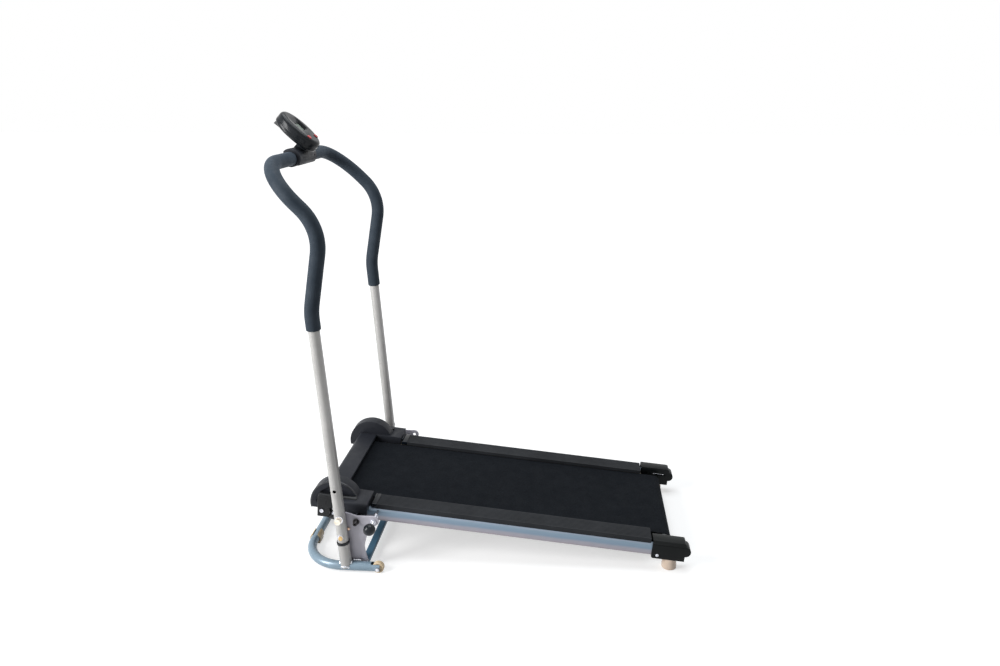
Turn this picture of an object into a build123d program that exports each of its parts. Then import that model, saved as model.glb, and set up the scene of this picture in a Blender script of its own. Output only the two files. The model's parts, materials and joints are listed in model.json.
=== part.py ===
from build123d import *
import os
from math import cos, radians, sin, tan

# A folding manual treadmill. +X is the rear of the machine, +Y the right-hand
# side of the person walking on it, +Z is up and the floor is z = 0. Stations
# along X are counted from the foot of the two uprights, which lies at UPRIGHT_X.
# The sloping deck has its own frame: x along the rails, y across, z off the deck.

os.makedirs("parts", exist_ok=True)

# ---------------------------------------------------------------- driving sizes (mm)
SIDES = {"left": -1, "right": 1}

UPRIGHT_X = -373.0        # station of the upright feet
GAP = 0.05                # seated pieces stand this far apart
RUN = 0.06                # radial clearance of a running fit
CLEAR = 0.4               # clearance between separate mouldings

# belt and rollers, from which the machine's width grows outwards
BELT_W = 330.0
BELT_T = 2.0
BELT_PLAY = 0.3
ROLLER_R = 19.0
ROLLER_DZ = -0.6
ROLLER_OVERHANG = 3.0
FRONT_ROLLER_X = -47.0
FRONT_AXLE_R = 6.0
REAR_AXLE_R = 5.0
FLYWHEEL_R = 45.0
FLYWHEEL_W = 21.0
FLYWHEEL_RIM = 10.0
FLYWHEEL_DISH = 6.0
HOUSING_ROOM = 15.0       # between the roller's end and the rail, besides the flywheel
HUB_R = 14.0
AXLE_PROUD = 1.5

# deck
DECK_PITCH = 5.72         # fall of the deck towards the rear, degrees
DECK_Z = 145.17           # rail centreline over the upright feet
RAIL_H = 38.0
RAIL_W = 20.0
RAIL_WALL = 1.8
RAIL_FRONT = -10.0
RAIL_REAR = 900.0
DECK_BOARD_T = 12.0
DECK_BOARD_FRONT = 0.0
CROSS_TUBES = (150.0, 450.0, 720.0)
CROSS_TUBE_W = 25.0
CROSS_TUBE_H = 19.4
FOOT_W = 54.0
FOOT_TOP = 32.0
FOOT_WALL = 2.5
FOOT_MARGIN = 3.0
FOOT_BOARD = 2.0
GROOVES = 8
GROOVE_W = 2.6
GROOVE_D = 1.2
END_L = 17.5
END_RISE = 1.0
END_ROUND = 5.0

# rear caps and feet
CAP_LAP = 52.0            # cover of the rail by the cap, and length beyond it
CAP_TAIL = 40.0
CAP_BOTTOM = -23.0
CAP_TOP = 33.0
CAP_WALL = 2.7
CAP_INBOARD = 12.0
CAP_ROUND = 12.0
BOSS_R = 15.0
BOSS_DZ = 7.0
CAP_GROOVE_DZ = 20.0
CAP_GROOVE_W = 2.0
CAP_GROOVE_D = 1.0
CAP_SCREW_SET = 16.0
CAP_SCREW_DZ = -13.0
CAP_SCREW_R = 2.0
CAP_HEAD_R = 4.5
ROLLER_SET = 13.3         # rear roller axis ahead of the rail's end
AXLE_GRIP = 6.0
ADJUSTER_DZ = 11.5
ADJUSTER_R = 3.0
ADJUSTER_W = 6.0
ADJUSTER_SLOT_L = 42.0
ADJUSTER_SLOT_H = 6.0
FOOT_INSET = 7.0
FOOT_SET = 1.8
FOOT_BASE_R = 21.0
FOOT_TAPER = 3.2

# front mouldings
COVER_FRONT = -88.0
COVER_REAR = -30.0
COVER_TOP = 42.5
COVER_LIP = 33.0
COVER_NOSE = 4.0
COVER_WALL = 2.5
BLOCK_INSET = 5.0
BLOCK_OVERHANG = 22.0
BLOCK_REAR = 52.0
BLOCK_BOTTOM = 8.0
BLOCK_LIFT = 1.0
DOME_SET = -1.4           # housing centre from the front roller's axis
DOME_RISE = 13.66
DOME_R = 70.0
DOME_CUT = -5.0
DOME_WALL = 2.5
DOME_SKIN = 3.0
DOME_RIM = 18.0
DOME_RECESS = 3.0
FLYWHEEL_GAP_IN = 2.8
FLYWHEEL_GAP_OUT = 4.6
BRACKET_T = 3.0
BRACKET_STAND = 1.4
BRACKET_NOSE = (-93.0, 135.0)
BRACKET_DROP = 9.0        # the flat plate reaches this far below the skirt
BRACKET_CROWN = 47.5
TONGUE_H = 28.0
TONGUE_END = 18.0
SKIRT_W = 15.0            # hollow skirt on the outside of the bracket
SKIRT_WALL = 2.5
SKIRT_ROUND = 12.0
SKIRT_TAIL = 17.0
SKIRT_MIDDLE = 11.0
APRON_L = 35.0
BRACKET_SCREW = (-78.0, 152.0)
BRACKET_SCREW_R = 3.0
BRACKET_HEAD_R = 5.5
BRACKET_BOLT = (-50.5, 137.0)
BRACKET_BOLT_R = 2.5
BRACKET_BOLT_AF = 9.0
LUG_R = 9.0

# base frame
PLATE_T = 4.0
PLATE_STAND = 22.0        # side plate outboard of the corner cover
BASE_R = 12.7
BASE_WALL = 1.6
BASE_FRONT_X = -130.0
BASE_REAR_X = 95.5
BASE_BEND_R = 115.0
CROSS_X = 48.0            # cross member: station, width, height, wall
CROSS_W = 20.0
CROSS_H = 12.0
CROSS_WALL = 1.5
PAD_Y = 150.0             # pads under the front tube
PAD_W = 32.0
PAD_OPENING = 15.0
WHEEL_R = 16.0            # transport wheels
WHEEL_W = 13.0
WHEEL_SET = 5.5
WHEEL_RECESS = 1.5
WHEEL_PLAY = 4.0
WHEEL_SIDE_PLAY = 1.0
AXLE_R = 3.0
AXLE_AF = 10.0
AXLE_HEAD = 3.6
AXLE_NUT = 4.6

# uprights and their sockets
LEAN = 3.25               # forward lean of the uprights, degrees
TUBE_R = 15.0
TUBE_WALL = 1.6
SOCKET_WALL = 2.65
SOCKET_TOP = 87.0
RING_H = 8.0
RING_PROUD = 2.5
SPIGOT_WALL = 2.0
SPIGOT_RISE = 40.0
BOLT_RISE = 70.5          # main bolt of each upright, above the ring
BOLT_R = 4.0
BOLT_AF = 16.5
BOLT_HEAD = 8.0
WASHER_R = 9.5
WASHER_T = 1.5
NUT_AF = 13.0
NUT_H = 6.0
LOWER_BOLT_RISE = 16.0
LOWER_BOLT_R = 3.0
LOWER_HEAD_R = 6.0
LOWER_HEAD = 4.0
SPARE_HOLE_RISE = 157.0
SPARE_HOLE_R = 4.75

# handlebar
JOINT_Z = 715.0           # where the handlebar plugs into the uprights
JOINT_DEPTH = 45.0
JOINT_RISE = 14.0
BEND_Z = 749.0
KNEE = (-1.7, 962.3)
TOP = (-146.4, 1108.0)
BEND_R = 184.0
KNEE_R = 126.0
TOP_R = 124.0
FOAM_T = 4.0
FOAM_START = {"left": 701.0, "right": 670.0}

# handlebar clamp and console
CLAMP_HALF = 67.0
CLAMP_WALL = 7.5
CLAMP_SADDLE = 4.5        # the half towards the console is this much thicker
CLAMP_BEVEL = 3.0
CLAMP_SCREW_Y = 46.0
CLAMP_SCREW_R = 2.0
CLAMP_HEAD_R = 3.4
CLAMP_HEAD_H = 2.4
CLAMP_HEAD_DEPTH = 5.0
CLAMP_SCREW_L = 13.0
CONSOLE_TILT = 43.4       # fall of the console's long axis, degrees
CONSOLE_RISE = (2.9, 67.3)
CONSOLE_L = 131.0
CONSOLE_W = 100.0
CONSOLE_T = 35.0
CONSOLE_WALL = 2.5
CONSOLE_SEAM = -3.0
CONSOLE_FRONT_R = 11.0
CONSOLE_BACK_R = 9.0
FACE_T = 8.0
RECESS_U = -13.0          # sloped recess round the display
RECESS_L = 50.0
RECESS_W = 52.0
RECESS_D = 6.0
RECESS_R = 7.5
LCD_U = -7.0
LCD_L = 26.0
LCD_W = 42.0
LCD_R = 2.0
LCD_LAP = 4.5
WINDOW_T = 1.5
BUTTON_U = 37.5
BUTTON_V = 25.3
BUTTON_R = 6.5
BUTTON_RISE = 2.0
BUTTON_EDGE = 1.0
BUTTON_PLAY = 0.2
BUTTON_FLANGE_T = 1.6
BUTTON_FLANGE = 1.0
CIRCUIT_L = 76.0
CIRCUIT_W = 56.0
CIRCUIT_T = 1.6
CIRCUIT_LIFT = 1.0
CIRCUIT_CORNER = 14.0
POST_INSET = 7.0
POST_R = 3.0
NECK_HALF = 22.0
NECK_TOP = (22.0, 53.0)
LEAD_BLOCK = (-60.0, -33.0, -24.0)    # block for the sensor lead: high end, knee, toe
LEAD_BLOCK_W = 24.0
LEAD_BLOCK_H = (8.0, 6.0)

# side plates, pivot and lock
PIVOT = (31.0, 145.5)
PIVOT_R = 6.0
PIVOT_BORE_R = 3.0
PIVOT_PROUD = 15.0
PIVOT_SHOULDER = 3.0
PIVOT_RING_T = 3.5
EAR = (78.5, 148.0)
EAR_R = 14.8
PLATE_FRONT = 12.0        # stations of the plate's foot, ring and upright edges
PLATE_RING_X = 5.6
PLATE_BOLT_X = 1.0
PLATE_RISE = 7.0
PLATE_WAIST = 53.0
WELD_H = 6.35
RIVET = (8.0, 124.0)
RIVET_R = 3.5
RIVET_H = 1.6
BUSH_WALL = 2.5
BUSH_INBOARD = 6.0
BUSH_OUTBOARD = 4.0
SHANK_R = 5.0
SHANK_SHOWN = 20.0
SHANK_GRIP = 6.0
PIN_R = 4.0
PIN_GAP = 1.5
PIN_HOLE_PLAY = 0.5
LOCK_STROKE = 14.0
COLLAR_R = 7.0
COLLAR_T = 10.0
BALL_R = 16.2
TIP_CHAMFER = 1.0

# front stop bracket
STOP_TILT = 15.0
STOP_L = 56.0
STOP_SET = 8.0
STOP_W = 130.0
STOP_T = 3.0
STOP_CORNER = 6.0
STOP_BOLT_Y = 45.0
STOP_BOLT_U = 25.0
STOP_BOLT_R = 4.0
STOP_BOLT_TAIL = 6.0

# ---------------------------------------------------------------- across the machine
BELT_HALF = BELT_W / 2
BELT_IN_R = ROLLER_R + BELT_PLAY
BELT_OUT_R = BELT_IN_R + BELT_T
ROLLER_HALF = BELT_HALF + ROLLER_OVERHANG
RAIL_IN = ROLLER_HALF + FLYWHEEL_W + HOUSING_ROOM
RAIL_OUT = RAIL_IN + RAIL_W
RAIL_Y = (RAIL_IN + RAIL_OUT) / 2
FOOT_IN = BELT_HALF
FOOT_OUT = FOOT_IN + FOOT_W
FLYWHEEL_OUT = RAIL_IN - 1
FLYWHEEL_IN = FLYWHEEL_OUT - FLYWHEEL_W
DOME_IN = FLYWHEEL_IN - FLYWHEEL_GAP_IN - DOME_WALL
DOME_OUT = FLYWHEEL_OUT + FLYWHEEL_GAP_OUT + DOME_SKIN + DOME_RECESS
BRACKET_IN = DOME_OUT + BRACKET_STAND
BRACKET_OUT = BRACKET_IN + BRACKET_T
SKIRT_OUT = BRACKET_OUT + SKIRT_W
BLOCK_IN = BELT_HALF + BLOCK_INSET
BLOCK_OUT = RAIL_OUT + BLOCK_OVERHANG
CAP_IN = RAIL_IN - CAP_INBOARD
CAP_OUT = RAIL_OUT + CAP_WALL + CLEAR
ADJUSTER_Y = (CAP_IN + CAP_WALL + RAIL_IN) / 2
FOOT_Y = RAIL_Y - FOOT_INSET
PLATE_IN = BLOCK_OUT + PLATE_STAND
PLATE_OUT = PLATE_IN + PLATE_T
LEG_Y = PLATE_OUT + TUBE_R
PIVOT_END = PLATE_OUT + PIVOT_PROUD
PIVOT_SHOULDER_R = PIVOT_R + PIVOT_SHOULDER
BUSH_R = SHANK_R + BUSH_WALL
BUSH_IN = PLATE_IN - BUSH_INBOARD
BUSH_OUT = PLATE_OUT + BUSH_OUTBOARD
COLLAR_OUT = BUSH_IN - LOCK_STROKE
COLLAR_IN = COLLAR_OUT - COLLAR_T
PIN_TIP = RAIL_OUT + PIN_GAP
BALL_Y = BUSH_OUT + SHANK_SHOWN + BALL_R
SHANK_END = BALL_Y - BALL_R + SHANK_GRIP

# ---------------------------------------------------------------- along and up
LEG_Z = WHEEL_R
WHEEL_X = BASE_REAR_X - WHEEL_SET
SLOT_X = WHEEL_X - WHEEL_R - WHEEL_PLAY
SLOT_W = WHEEL_W + 2 * WHEEL_SIDE_PLAY
SPIGOT_R = TUBE_R - TUBE_WALL - GAP
SOCKET_R = SPIGOT_R + SOCKET_WALL
RING_TOP = SOCKET_TOP + RING_H
RING_R = TUBE_R + RING_PROUD
BOLT_Z = RING_TOP + BOLT_RISE
LOWER_BOLT_Z = RING_TOP + LOWER_BOLT_RISE
SPARE_HOLE_Z = RING_TOP + SPARE_HOLE_RISE
SPIGOT_TOP = BOLT_Z + SPIGOT_RISE
FOAM_R = TUBE_R + FOAM_T
CLAMP_R = TUBE_R + CLAMP_WALL
SADDLE_R = CLAMP_R + CLAMP_SADDLE
CLAMP_SCREW_OFF = TUBE_R + CLAMP_WALL / 2
CONSOLE_CENTRE = (TOP[0] + CONSOLE_RISE[0], TOP[1] + CONSOLE_RISE[1])
HALF_T = CONSOLE_T / 2
FACE_UNDER = HALF_T - FACE_T
CIRCUIT_FLOOR = CONSOLE_SEAM + CIRCUIT_LIFT
REAR_ROLLER_X = RAIL_REAR - ROLLER_SET
BOARD_TOP = ROLLER_DZ + ROLLER_R - 0.9
FOOT_LIP = ROLLER_DZ + BELT_OUT_R + 1.1
CAP_FRONT = RAIL_REAR - CAP_LAP
CAP_REAR = RAIL_REAR + CAP_TAIL
CAP_SCREW = (CAP_FRONT + CAP_SCREW_SET, CAP_SCREW_DZ)
END_FRONT = BLOCK_REAR + 4
FOOT_FRONT = END_FRONT + END_L + GAP
FOOT_REAR = CAP_FRONT - 4
DECK_BOARD_REAR = CAP_FRONT - 1
ADJUSTER_SLOT_X = RAIL_REAR + CAP_TAIL / 5
REAR_AXLE_HALF = RAIL_IN + AXLE_GRIP
DOME = (FRONT_ROLLER_X + DOME_SET, ROLLER_DZ + DOME_RISE)
BLOCK_INNER_BOTTOM = BOARD_TOP + BLOCK_LIFT

# ---------------------------------------------------------------- frames of reference
DECK = Plane(
    origin=(UPRIGHT_X, 0, DECK_Z),
    x_dir=(cos(radians(DECK_PITCH)), 0, -sin(radians(DECK_PITCH))),
    z_dir=(sin(radians(DECK_PITCH)), 0, cos(radians(DECK_PITCH))),
)
CONSOLE = Plane(
    origin=(UPRIGHT_X + CONSOLE_CENTRE[0], 0, CONSOLE_CENTRE[1]),
    x_dir=(cos(radians(CONSOLE_TILT)), 0, -sin(radians(CONSOLE_TILT))),
    z_dir=(sin(radians(CONSOLE_TILT)), 0, cos(radians(CONSOLE_TILT))),
)
DECK_ALONG = Axis(DECK.origin, DECK.x_dir)
DECK_UP = Axis(DECK.origin, DECK.z_dir)
CONSOLE_OUT = Axis(CONSOLE.origin, CONSOLE.z_dir)


def side_plane(y):
    """Upright plane at width y: local x runs rearward from the uprights, local y up."""
    return Plane(origin=(UPRIGHT_X, y, 0), x_dir=(1, 0, 0), z_dir=(0, -1, 0))


def deck_side(y):
    """Side view of the deck at width y: local x along the rails, local y off the deck."""
    origin = DECK.origin + DECK.y_dir * y
    return Plane(origin=origin, x_dir=DECK.x_dir, z_dir=(0, -1, 0))


def deck_cross(x):
    """Section across the deck at station x: local x is +Y, local y off the deck."""
    origin = DECK.origin + DECK.x_dir * x
    return Plane(origin=origin, x_dir=(0, 1, 0), z_dir=DECK.x_dir)


def console_side(y):
    """Side view of the console at width y: local x down its face, local y out of it."""
    origin = CONSOLE.origin + CONSOLE.y_dir * y
    return Plane(origin=origin, x_dir=CONSOLE.x_dir, z_dir=(0, -1, 0))


def upright_x(z):
    """Station of the upright's centreline at height z."""
    return -tan(radians(LEAN)) * (z - LEG_Z)


def upright_plane(y, z):
    """Section across an upright at height z, facing up its centreline."""
    return Plane(
        origin=(UPRIGHT_X + upright_x(z), y, z),
        x_dir=(cos(radians(LEAN)), 0, sin(radians(LEAN))),
        z_dir=(-sin(radians(LEAN)), 0, cos(radians(LEAN))),
    )


def along_upright(low, high):
    """Length of the upright between two heights."""
    return (high - low) / cos(radians(LEAN))


def in_deck(point):
    """Deck coordinates of a point given by station and height."""
    local = DECK.to_local_coords(Vector(UPRIGHT_X + point[0], 0, point[1]))
    return (local.X, local.Z)


def from_deck(x, dz):
    """Station and height of a point given in the deck's side view."""
    point = DECK.origin + DECK.x_dir * x + DECK.z_dir * dz
    return (point.X - UPRIGHT_X, point.Z)


def in_console(point):
    """Console coordinates of a point given by station and height."""
    local = CONSOLE.to_local_coords(Vector(UPRIGHT_X + point[0], 0, point[1]))
    return (local.X, local.Z)


# ---------------------------------------------------------------- base frame
def make_base_tube():
    with BuildPart() as base_tube:
        with BuildLine(Plane.XY.offset(LEG_Z)) as route:
            FilletPolyline(
                (UPRIGHT_X + BASE_REAR_X, -LEG_Y),
                (UPRIGHT_X + BASE_FRONT_X, -LEG_Y),
                (UPRIGHT_X + BASE_FRONT_X, LEG_Y),
                (UPRIGHT_X + BASE_REAR_X, LEG_Y),
                radius=BASE_BEND_R,
            )
        with BuildSketch(Plane(origin=route.line @ 0, z_dir=route.line % 0)):
            Circle(BASE_R)
            Circle(BASE_R - BASE_WALL, mode=Mode.SUBTRACT)
        sweep()
        # a slot through each rear end takes the wheel
        with BuildSketch(Plane.XY.offset(LEG_Z)):
            with Locations(*[(UPRIGHT_X + SLOT_X, side * LEG_Y) for side in SIDES.values()]):
                Rectangle(SLOT_W * 3, SLOT_W, align=(Align.MIN, Align.CENTER))
        extrude(amount=2 * BASE_R, both=True, mode=Mode.SUBTRACT)
        with BuildSketch(side_plane(0)):
            with Locations((WHEEL_X, LEG_Z)):
                Circle(AXLE_R + GAP)
        extrude(amount=LEG_Y + 2 * BASE_R, both=True, mode=Mode.SUBTRACT)
    base_tube.part.label = "base_tube"
    export_step(base_tube.part, "parts/base_tube.step")


def make_base_cross_member():
    with BuildPart() as member:
        with BuildSketch(side_plane(0)):
            with Locations((CROSS_X, LEG_Z)):
                RectangleRounded(CROSS_W, CROSS_H, CROSS_WALL)
                Rectangle(CROSS_W - 2 * CROSS_WALL, CROSS_H - 2 * CROSS_WALL, mode=Mode.SUBTRACT)
        extrude(amount=LEG_Y - BASE_R - GAP, both=True)
    member.part.label = "base_cross_member"
    export_step(member.part, "parts/base_cross_member.step")


def make_front_pads():
    with BuildPart() as front_pads:
        for side in SIDES.values():
            with BuildSketch(side_plane(side * PAD_Y)):
                with Locations((BASE_FRONT_X, LEG_Z)):
                    Circle(LEG_Z)
                with Locations((BASE_FRONT_X, 0)):
                    Rectangle(1.6 * LEG_Z, LEG_Z, align=(Align.CENTER, Align.MIN))
                with Locations((BASE_FRONT_X, LEG_Z)):
                    Circle(BASE_R + GAP, mode=Mode.SUBTRACT)
                    Rectangle(
                        PAD_OPENING, 2 * LEG_Z, align=(Align.CENTER, Align.MIN), mode=Mode.SUBTRACT
                    )
            extrude(amount=PAD_W / 2, both=True)
    front_pads.part.label = "front_pads"
    export_step(front_pads.part, "parts/front_pads.step")


def make_wheel(name, side):
    with BuildPart() as wheel:
        with BuildSketch(side_plane(side * LEG_Y)):
            with Locations((WHEEL_X, LEG_Z)):
                Circle(WHEEL_R)
        extrude(amount=WHEEL_W / 2, both=True)
        chamfer(wheel.edges().filter_by(GeomType.CIRCLE), length=1)
        for face in (-1, 1):
            with BuildSketch(side_plane(side * LEG_Y + face * WHEEL_W / 2)):
                with Locations((WHEEL_X, LEG_Z)):
                    Circle(WHEEL_R * 0.7)
                    Circle(WHEEL_R * 0.38, mode=Mode.SUBTRACT)
            extrude(amount=WHEEL_RECESS, both=True, mode=Mode.SUBTRACT)
        with BuildSketch(side_plane(side * LEG_Y)):
            with Locations((WHEEL_X, LEG_Z)):
                Circle(AXLE_R + RUN)
        extrude(amount=WHEEL_W, both=True, mode=Mode.SUBTRACT)
    wheel.part.label = f"{name}_wheel"
    export_step(wheel.part, f"parts/{name}_wheel.step")


def bolt_along_y(side, station, height, inner, outer, shank_r, head_af, head_h, nut_af, nut_h):
    """Hex bolt across the machine: head on the outer end, nut on the inner end."""
    with BuildSketch(side_plane(side * (inner + outer) / 2)) as shank:
        with Locations((station, height)):
            Circle(shank_r)
    extrude(shank.sketch, amount=(outer - inner) / 2 + nut_h, both=True)
    with BuildSketch(side_plane(side * (outer + head_h / 2))) as head:
        with Locations((station, height)):
            RegularPolygon(head_af / 2, 6, major_radius=False)
    extrude(head.sketch, amount=head_h / 2, both=True)
    with BuildSketch(side_plane(side * (inner - nut_h / 2))) as nut:
        with Locations((station, height)):
            RegularPolygon(nut_af / 2, 6, major_radius=False)
    extrude(nut.sketch, amount=nut_h / 2, both=True)


def make_wheel_bolts():
    cheek = BASE_R + GAP
    with BuildPart() as wheel_bolts:
        for side in SIDES.values():
            bolt_along_y(side, WHEEL_X, LEG_Z, LEG_Y - cheek, LEG_Y + cheek,
                         AXLE_R, AXLE_AF, AXLE_HEAD, AXLE_AF, AXLE_NUT)
    wheel_bolts.part.label = "wheel_bolts"
    export_step(wheel_bolts.part, "parts/wheel_bolts.step")


# ---------------------------------------------------------------- uprights
def make_socket(name, side):
    y = side * LEG_Y
    with BuildPart() as socket:
        with BuildSketch(upright_plane(y, LEG_Z)):
            Circle(SOCKET_R)
            Circle(SPIGOT_R + GAP, mode=Mode.SUBTRACT)
        extrude(amount=along_upright(LEG_Z, SOCKET_TOP))
        # the lower end is coped over the leg
        with BuildSketch(Plane.YZ.offset(UPRIGHT_X)):
            with Locations((y, LEG_Z)):
                Circle(BASE_R + GAP)
        extrude(amount=2 * SOCKET_R, both=True, mode=Mode.SUBTRACT)
    socket.part.label = f"{name}_socket"
    export_step(socket.part, f"parts/{name}_socket.step")


def make_socket_rings():
    with BuildPart() as socket_rings:
        for side in SIDES.values():
            with BuildSketch(upright_plane(side * LEG_Y, SOCKET_TOP + GAP)):
                Circle(RING_R)
                Circle(SPIGOT_R + GAP, mode=Mode.SUBTRACT)
            extrude(amount=along_upright(SOCKET_TOP + GAP, RING_TOP - GAP))
    socket_rings.part.label = "socket_rings"
    export_step(socket_rings.part, "parts/socket_rings.step")


def bolt_holes(side, clearance):
    """Holes of the two bolts across an upright."""
    with BuildSketch(side_plane(side * LEG_Y)) as holes:
        with Locations((upright_x(BOLT_Z), BOLT_Z)):
            Circle(BOLT_R + clearance)
        with Locations((upright_x(LOWER_BOLT_Z), LOWER_BOLT_Z)):
            Circle(LOWER_BOLT_R + clearance)
    extrude(holes.sketch, amount=2 * TUBE_R, both=True, mode=Mode.SUBTRACT)


def make_spigots():
    with BuildPart() as spigots:
        for side in SIDES.values():
            spans = ((LEG_Z + BASE_R + 2, SPIGOT_TOP), (JOINT_Z - JOINT_DEPTH, JOINT_Z + JOINT_RISE))
            for low, high in spans:
                with BuildSketch(upright_plane(side * LEG_Y, low)):
                    Circle(SPIGOT_R)
                    Circle(SPIGOT_R - SPIGOT_WALL, mode=Mode.SUBTRACT)
                extrude(amount=along_upright(low, high))
            bolt_holes(side, GAP)
    spigots.part.label = "spigots"
    export_step(spigots.part, "parts/spigots.step")


def make_upright(name, side):
    y = side * LEG_Y
    with BuildPart() as upright:
        with BuildSketch(upright_plane(y, RING_TOP)):
            Circle(TUBE_R)
            Circle(TUBE_R - TUBE_WALL, mode=Mode.SUBTRACT)
        extrude(amount=along_upright(RING_TOP, JOINT_Z))
        bolt_holes(side, GAP)
        # a spare hole in the outer wall alone
        with BuildSketch(side_plane(side * (LEG_Y + TUBE_R))):
            with Locations((upright_x(SPARE_HOLE_Z), SPARE_HOLE_Z)):
                Circle(SPARE_HOLE_R)
        extrude(amount=TUBE_R / 2, both=True, mode=Mode.SUBTRACT)
    upright.part.label = f"{name}_upright"
    export_step(upright.part, f"parts/{name}_upright.step")


def make_upright_bolts():
    x = upright_x(BOLT_Z)
    face = LEG_Y + TUBE_R + GAP
    with BuildPart() as upright_bolts:
        for side in SIDES.values():
            with BuildSketch(side_plane(side * (face + WASHER_T / 2))):
                with Locations((x, BOLT_Z)):
                    Circle(WASHER_R)
            extrude(amount=WASHER_T / 2, both=True)
            bolt_along_y(side, x, BOLT_Z, LEG_Y - TUBE_R - GAP, face + WASHER_T,
                         BOLT_R, BOLT_AF, BOLT_HEAD, NUT_AF, NUT_H)
    upright_bolts.part.label = "upright_bolts"
    export_step(upright_bolts.part, "parts/upright_bolts.step")


def make_upright_lower_bolts():
    x = upright_x(LOWER_BOLT_Z)
    face = LEG_Y + TUBE_R + GAP
    inner = LEG_Y - TUBE_R + TUBE_WALL
    with BuildPart() as lower_bolts:
        for side in SIDES.values():
            with BuildSketch(side_plane(side * (inner + face) / 2)):
                with Locations((x, LOWER_BOLT_Z)):
                    Circle(LOWER_BOLT_R)
            extrude(amount=(face - inner) / 2, both=True)
            with BuildSketch(side_plane(side * (face + LOWER_HEAD / 2))):
                with Locations((x, LOWER_BOLT_Z)):
                    Circle(LOWER_HEAD_R)
            extrude(amount=LOWER_HEAD / 2, both=True)
    lower_bolts.part.label = "upright_lower_bolts"
    export_step(lower_bolts.part, "parts/upright_lower_bolts.step")


# ---------------------------------------------------------------- handlebar and grips
def bar_point(point, y):
    return (UPRIGHT_X + point[0], y, point[1])


def make_handlebar_tube():
    start = (upright_x(JOINT_Z), JOINT_Z)
    bend = (upright_x(BEND_Z), BEND_Z)
    corners = (start, bend, KNEE, TOP)
    near = [bar_point(corner, -LEG_Y) for corner in corners]
    far = [bar_point(corner, LEG_Y) for corner in reversed(corners)]
    with BuildPart() as handlebar_tube:
        with BuildLine() as route:
            FilletPolyline(*near, *far, radius=[BEND_R, KNEE_R, TOP_R, TOP_R, KNEE_R, BEND_R])
        with BuildSketch(Plane(origin=route.line @ 0, z_dir=route.line % 0)):
            Circle(TUBE_R)
            Circle(TUBE_R - TUBE_WALL, mode=Mode.SUBTRACT)
        sweep()
    handlebar_tube.part.label = "handlebar_tube"
    export_step(handlebar_tube.part, "parts/handlebar_tube.step")


def make_grip_foam(side_name, side):
    start = (upright_x(FOAM_START[side_name]), FOAM_START[side_name])
    bend = (upright_x(BEND_Z), BEND_Z)
    corners = [bar_point(corner, side * LEG_Y) for corner in (start, bend, KNEE, TOP)]
    end = bar_point(TOP, side * (CLAMP_HALF + CLEAR))
    with BuildPart() as foam:
        with BuildLine() as route:
            FilletPolyline(*corners, end, radius=[BEND_R, KNEE_R, TOP_R])
        with BuildSketch(Plane(origin=route.line @ 0, z_dir=route.line % 0)):
            Circle(FOAM_R)
            Circle(TUBE_R + GAP, mode=Mode.SUBTRACT)
        sweep()
    foam.part.label = f"{side_name}_grip_foam"
    export_step(foam.part, f"parts/{side_name}_grip_foam.step")


# ---------------------------------------------------------------- clamp and console
def make_clamp_half(name, sign):
    """Half of the sleeve on the top bar; sign +1 is the half towards the console."""
    u, w = in_console(TOP)
    radius = SADDLE_R if sign > 0 else CLAMP_R
    with BuildPart() as half:
        with BuildSketch(console_side(0)):
            with Locations((u, w)):
                Circle(radius)
                Circle(TUBE_R + GAP, mode=Mode.SUBTRACT)
            with Locations((u, w + sign * GAP)):
                Rectangle(3 * radius, 2 * radius, mode=Mode.INTERSECT,
                          align=(Align.CENTER, Align.MIN if sign > 0 else Align.MAX))
        extrude(amount=CLAMP_HALF, both=True)
        rims = half.edges().filter_by(GeomType.CIRCLE).group_by(SortBy.RADIUS)[-1]
        chamfer(rims, length=CLAMP_BEVEL if sign > 0 else CLAMP_BEVEL / 2)
        with BuildSketch(CONSOLE.offset(w)):
            with Locations(*clamp_screw_spots(u)):
                Circle(CLAMP_SCREW_R + GAP)
        extrude(amount=2 * CLAMP_R, both=True, mode=Mode.SUBTRACT)
        if sign < 0:
            with BuildSketch(CONSOLE.offset(w - CLAMP_HEAD_DEPTH)):
                with Locations(*clamp_screw_spots(u)):
                    Circle(CLAMP_HEAD_R + CLEAR)
            extrude(amount=-2 * CLAMP_R, mode=Mode.SUBTRACT)
    half.part.label = name
    export_step(half.part, f"parts/{name}.step")


def clamp_screw_spots(u):
    offsets = (-CLAMP_SCREW_OFF, CLAMP_SCREW_OFF)
    return [(u + off, y) for off in offsets for y in (-CLAMP_SCREW_Y, CLAMP_SCREW_Y)]


def make_clamp_screws():
    u, w = in_console(TOP)
    with BuildPart() as clamp_screws:
        with BuildSketch(CONSOLE.offset(w - CLAMP_HEAD_DEPTH - GAP)):
            with Locations(*clamp_screw_spots(u)):
                Circle(CLAMP_HEAD_R)
        extrude(amount=-CLAMP_HEAD_H)
        with BuildSketch(CONSOLE.offset(w - CLAMP_HEAD_DEPTH - GAP)):
            with Locations(*clamp_screw_spots(u)):
                Circle(CLAMP_SCREW_R)
        extrude(amount=CLAMP_SCREW_L)
    clamp_screws.part.label = "clamp_screws"
    export_step(clamp_screws.part, "parts/clamp_screws.step")


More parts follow.
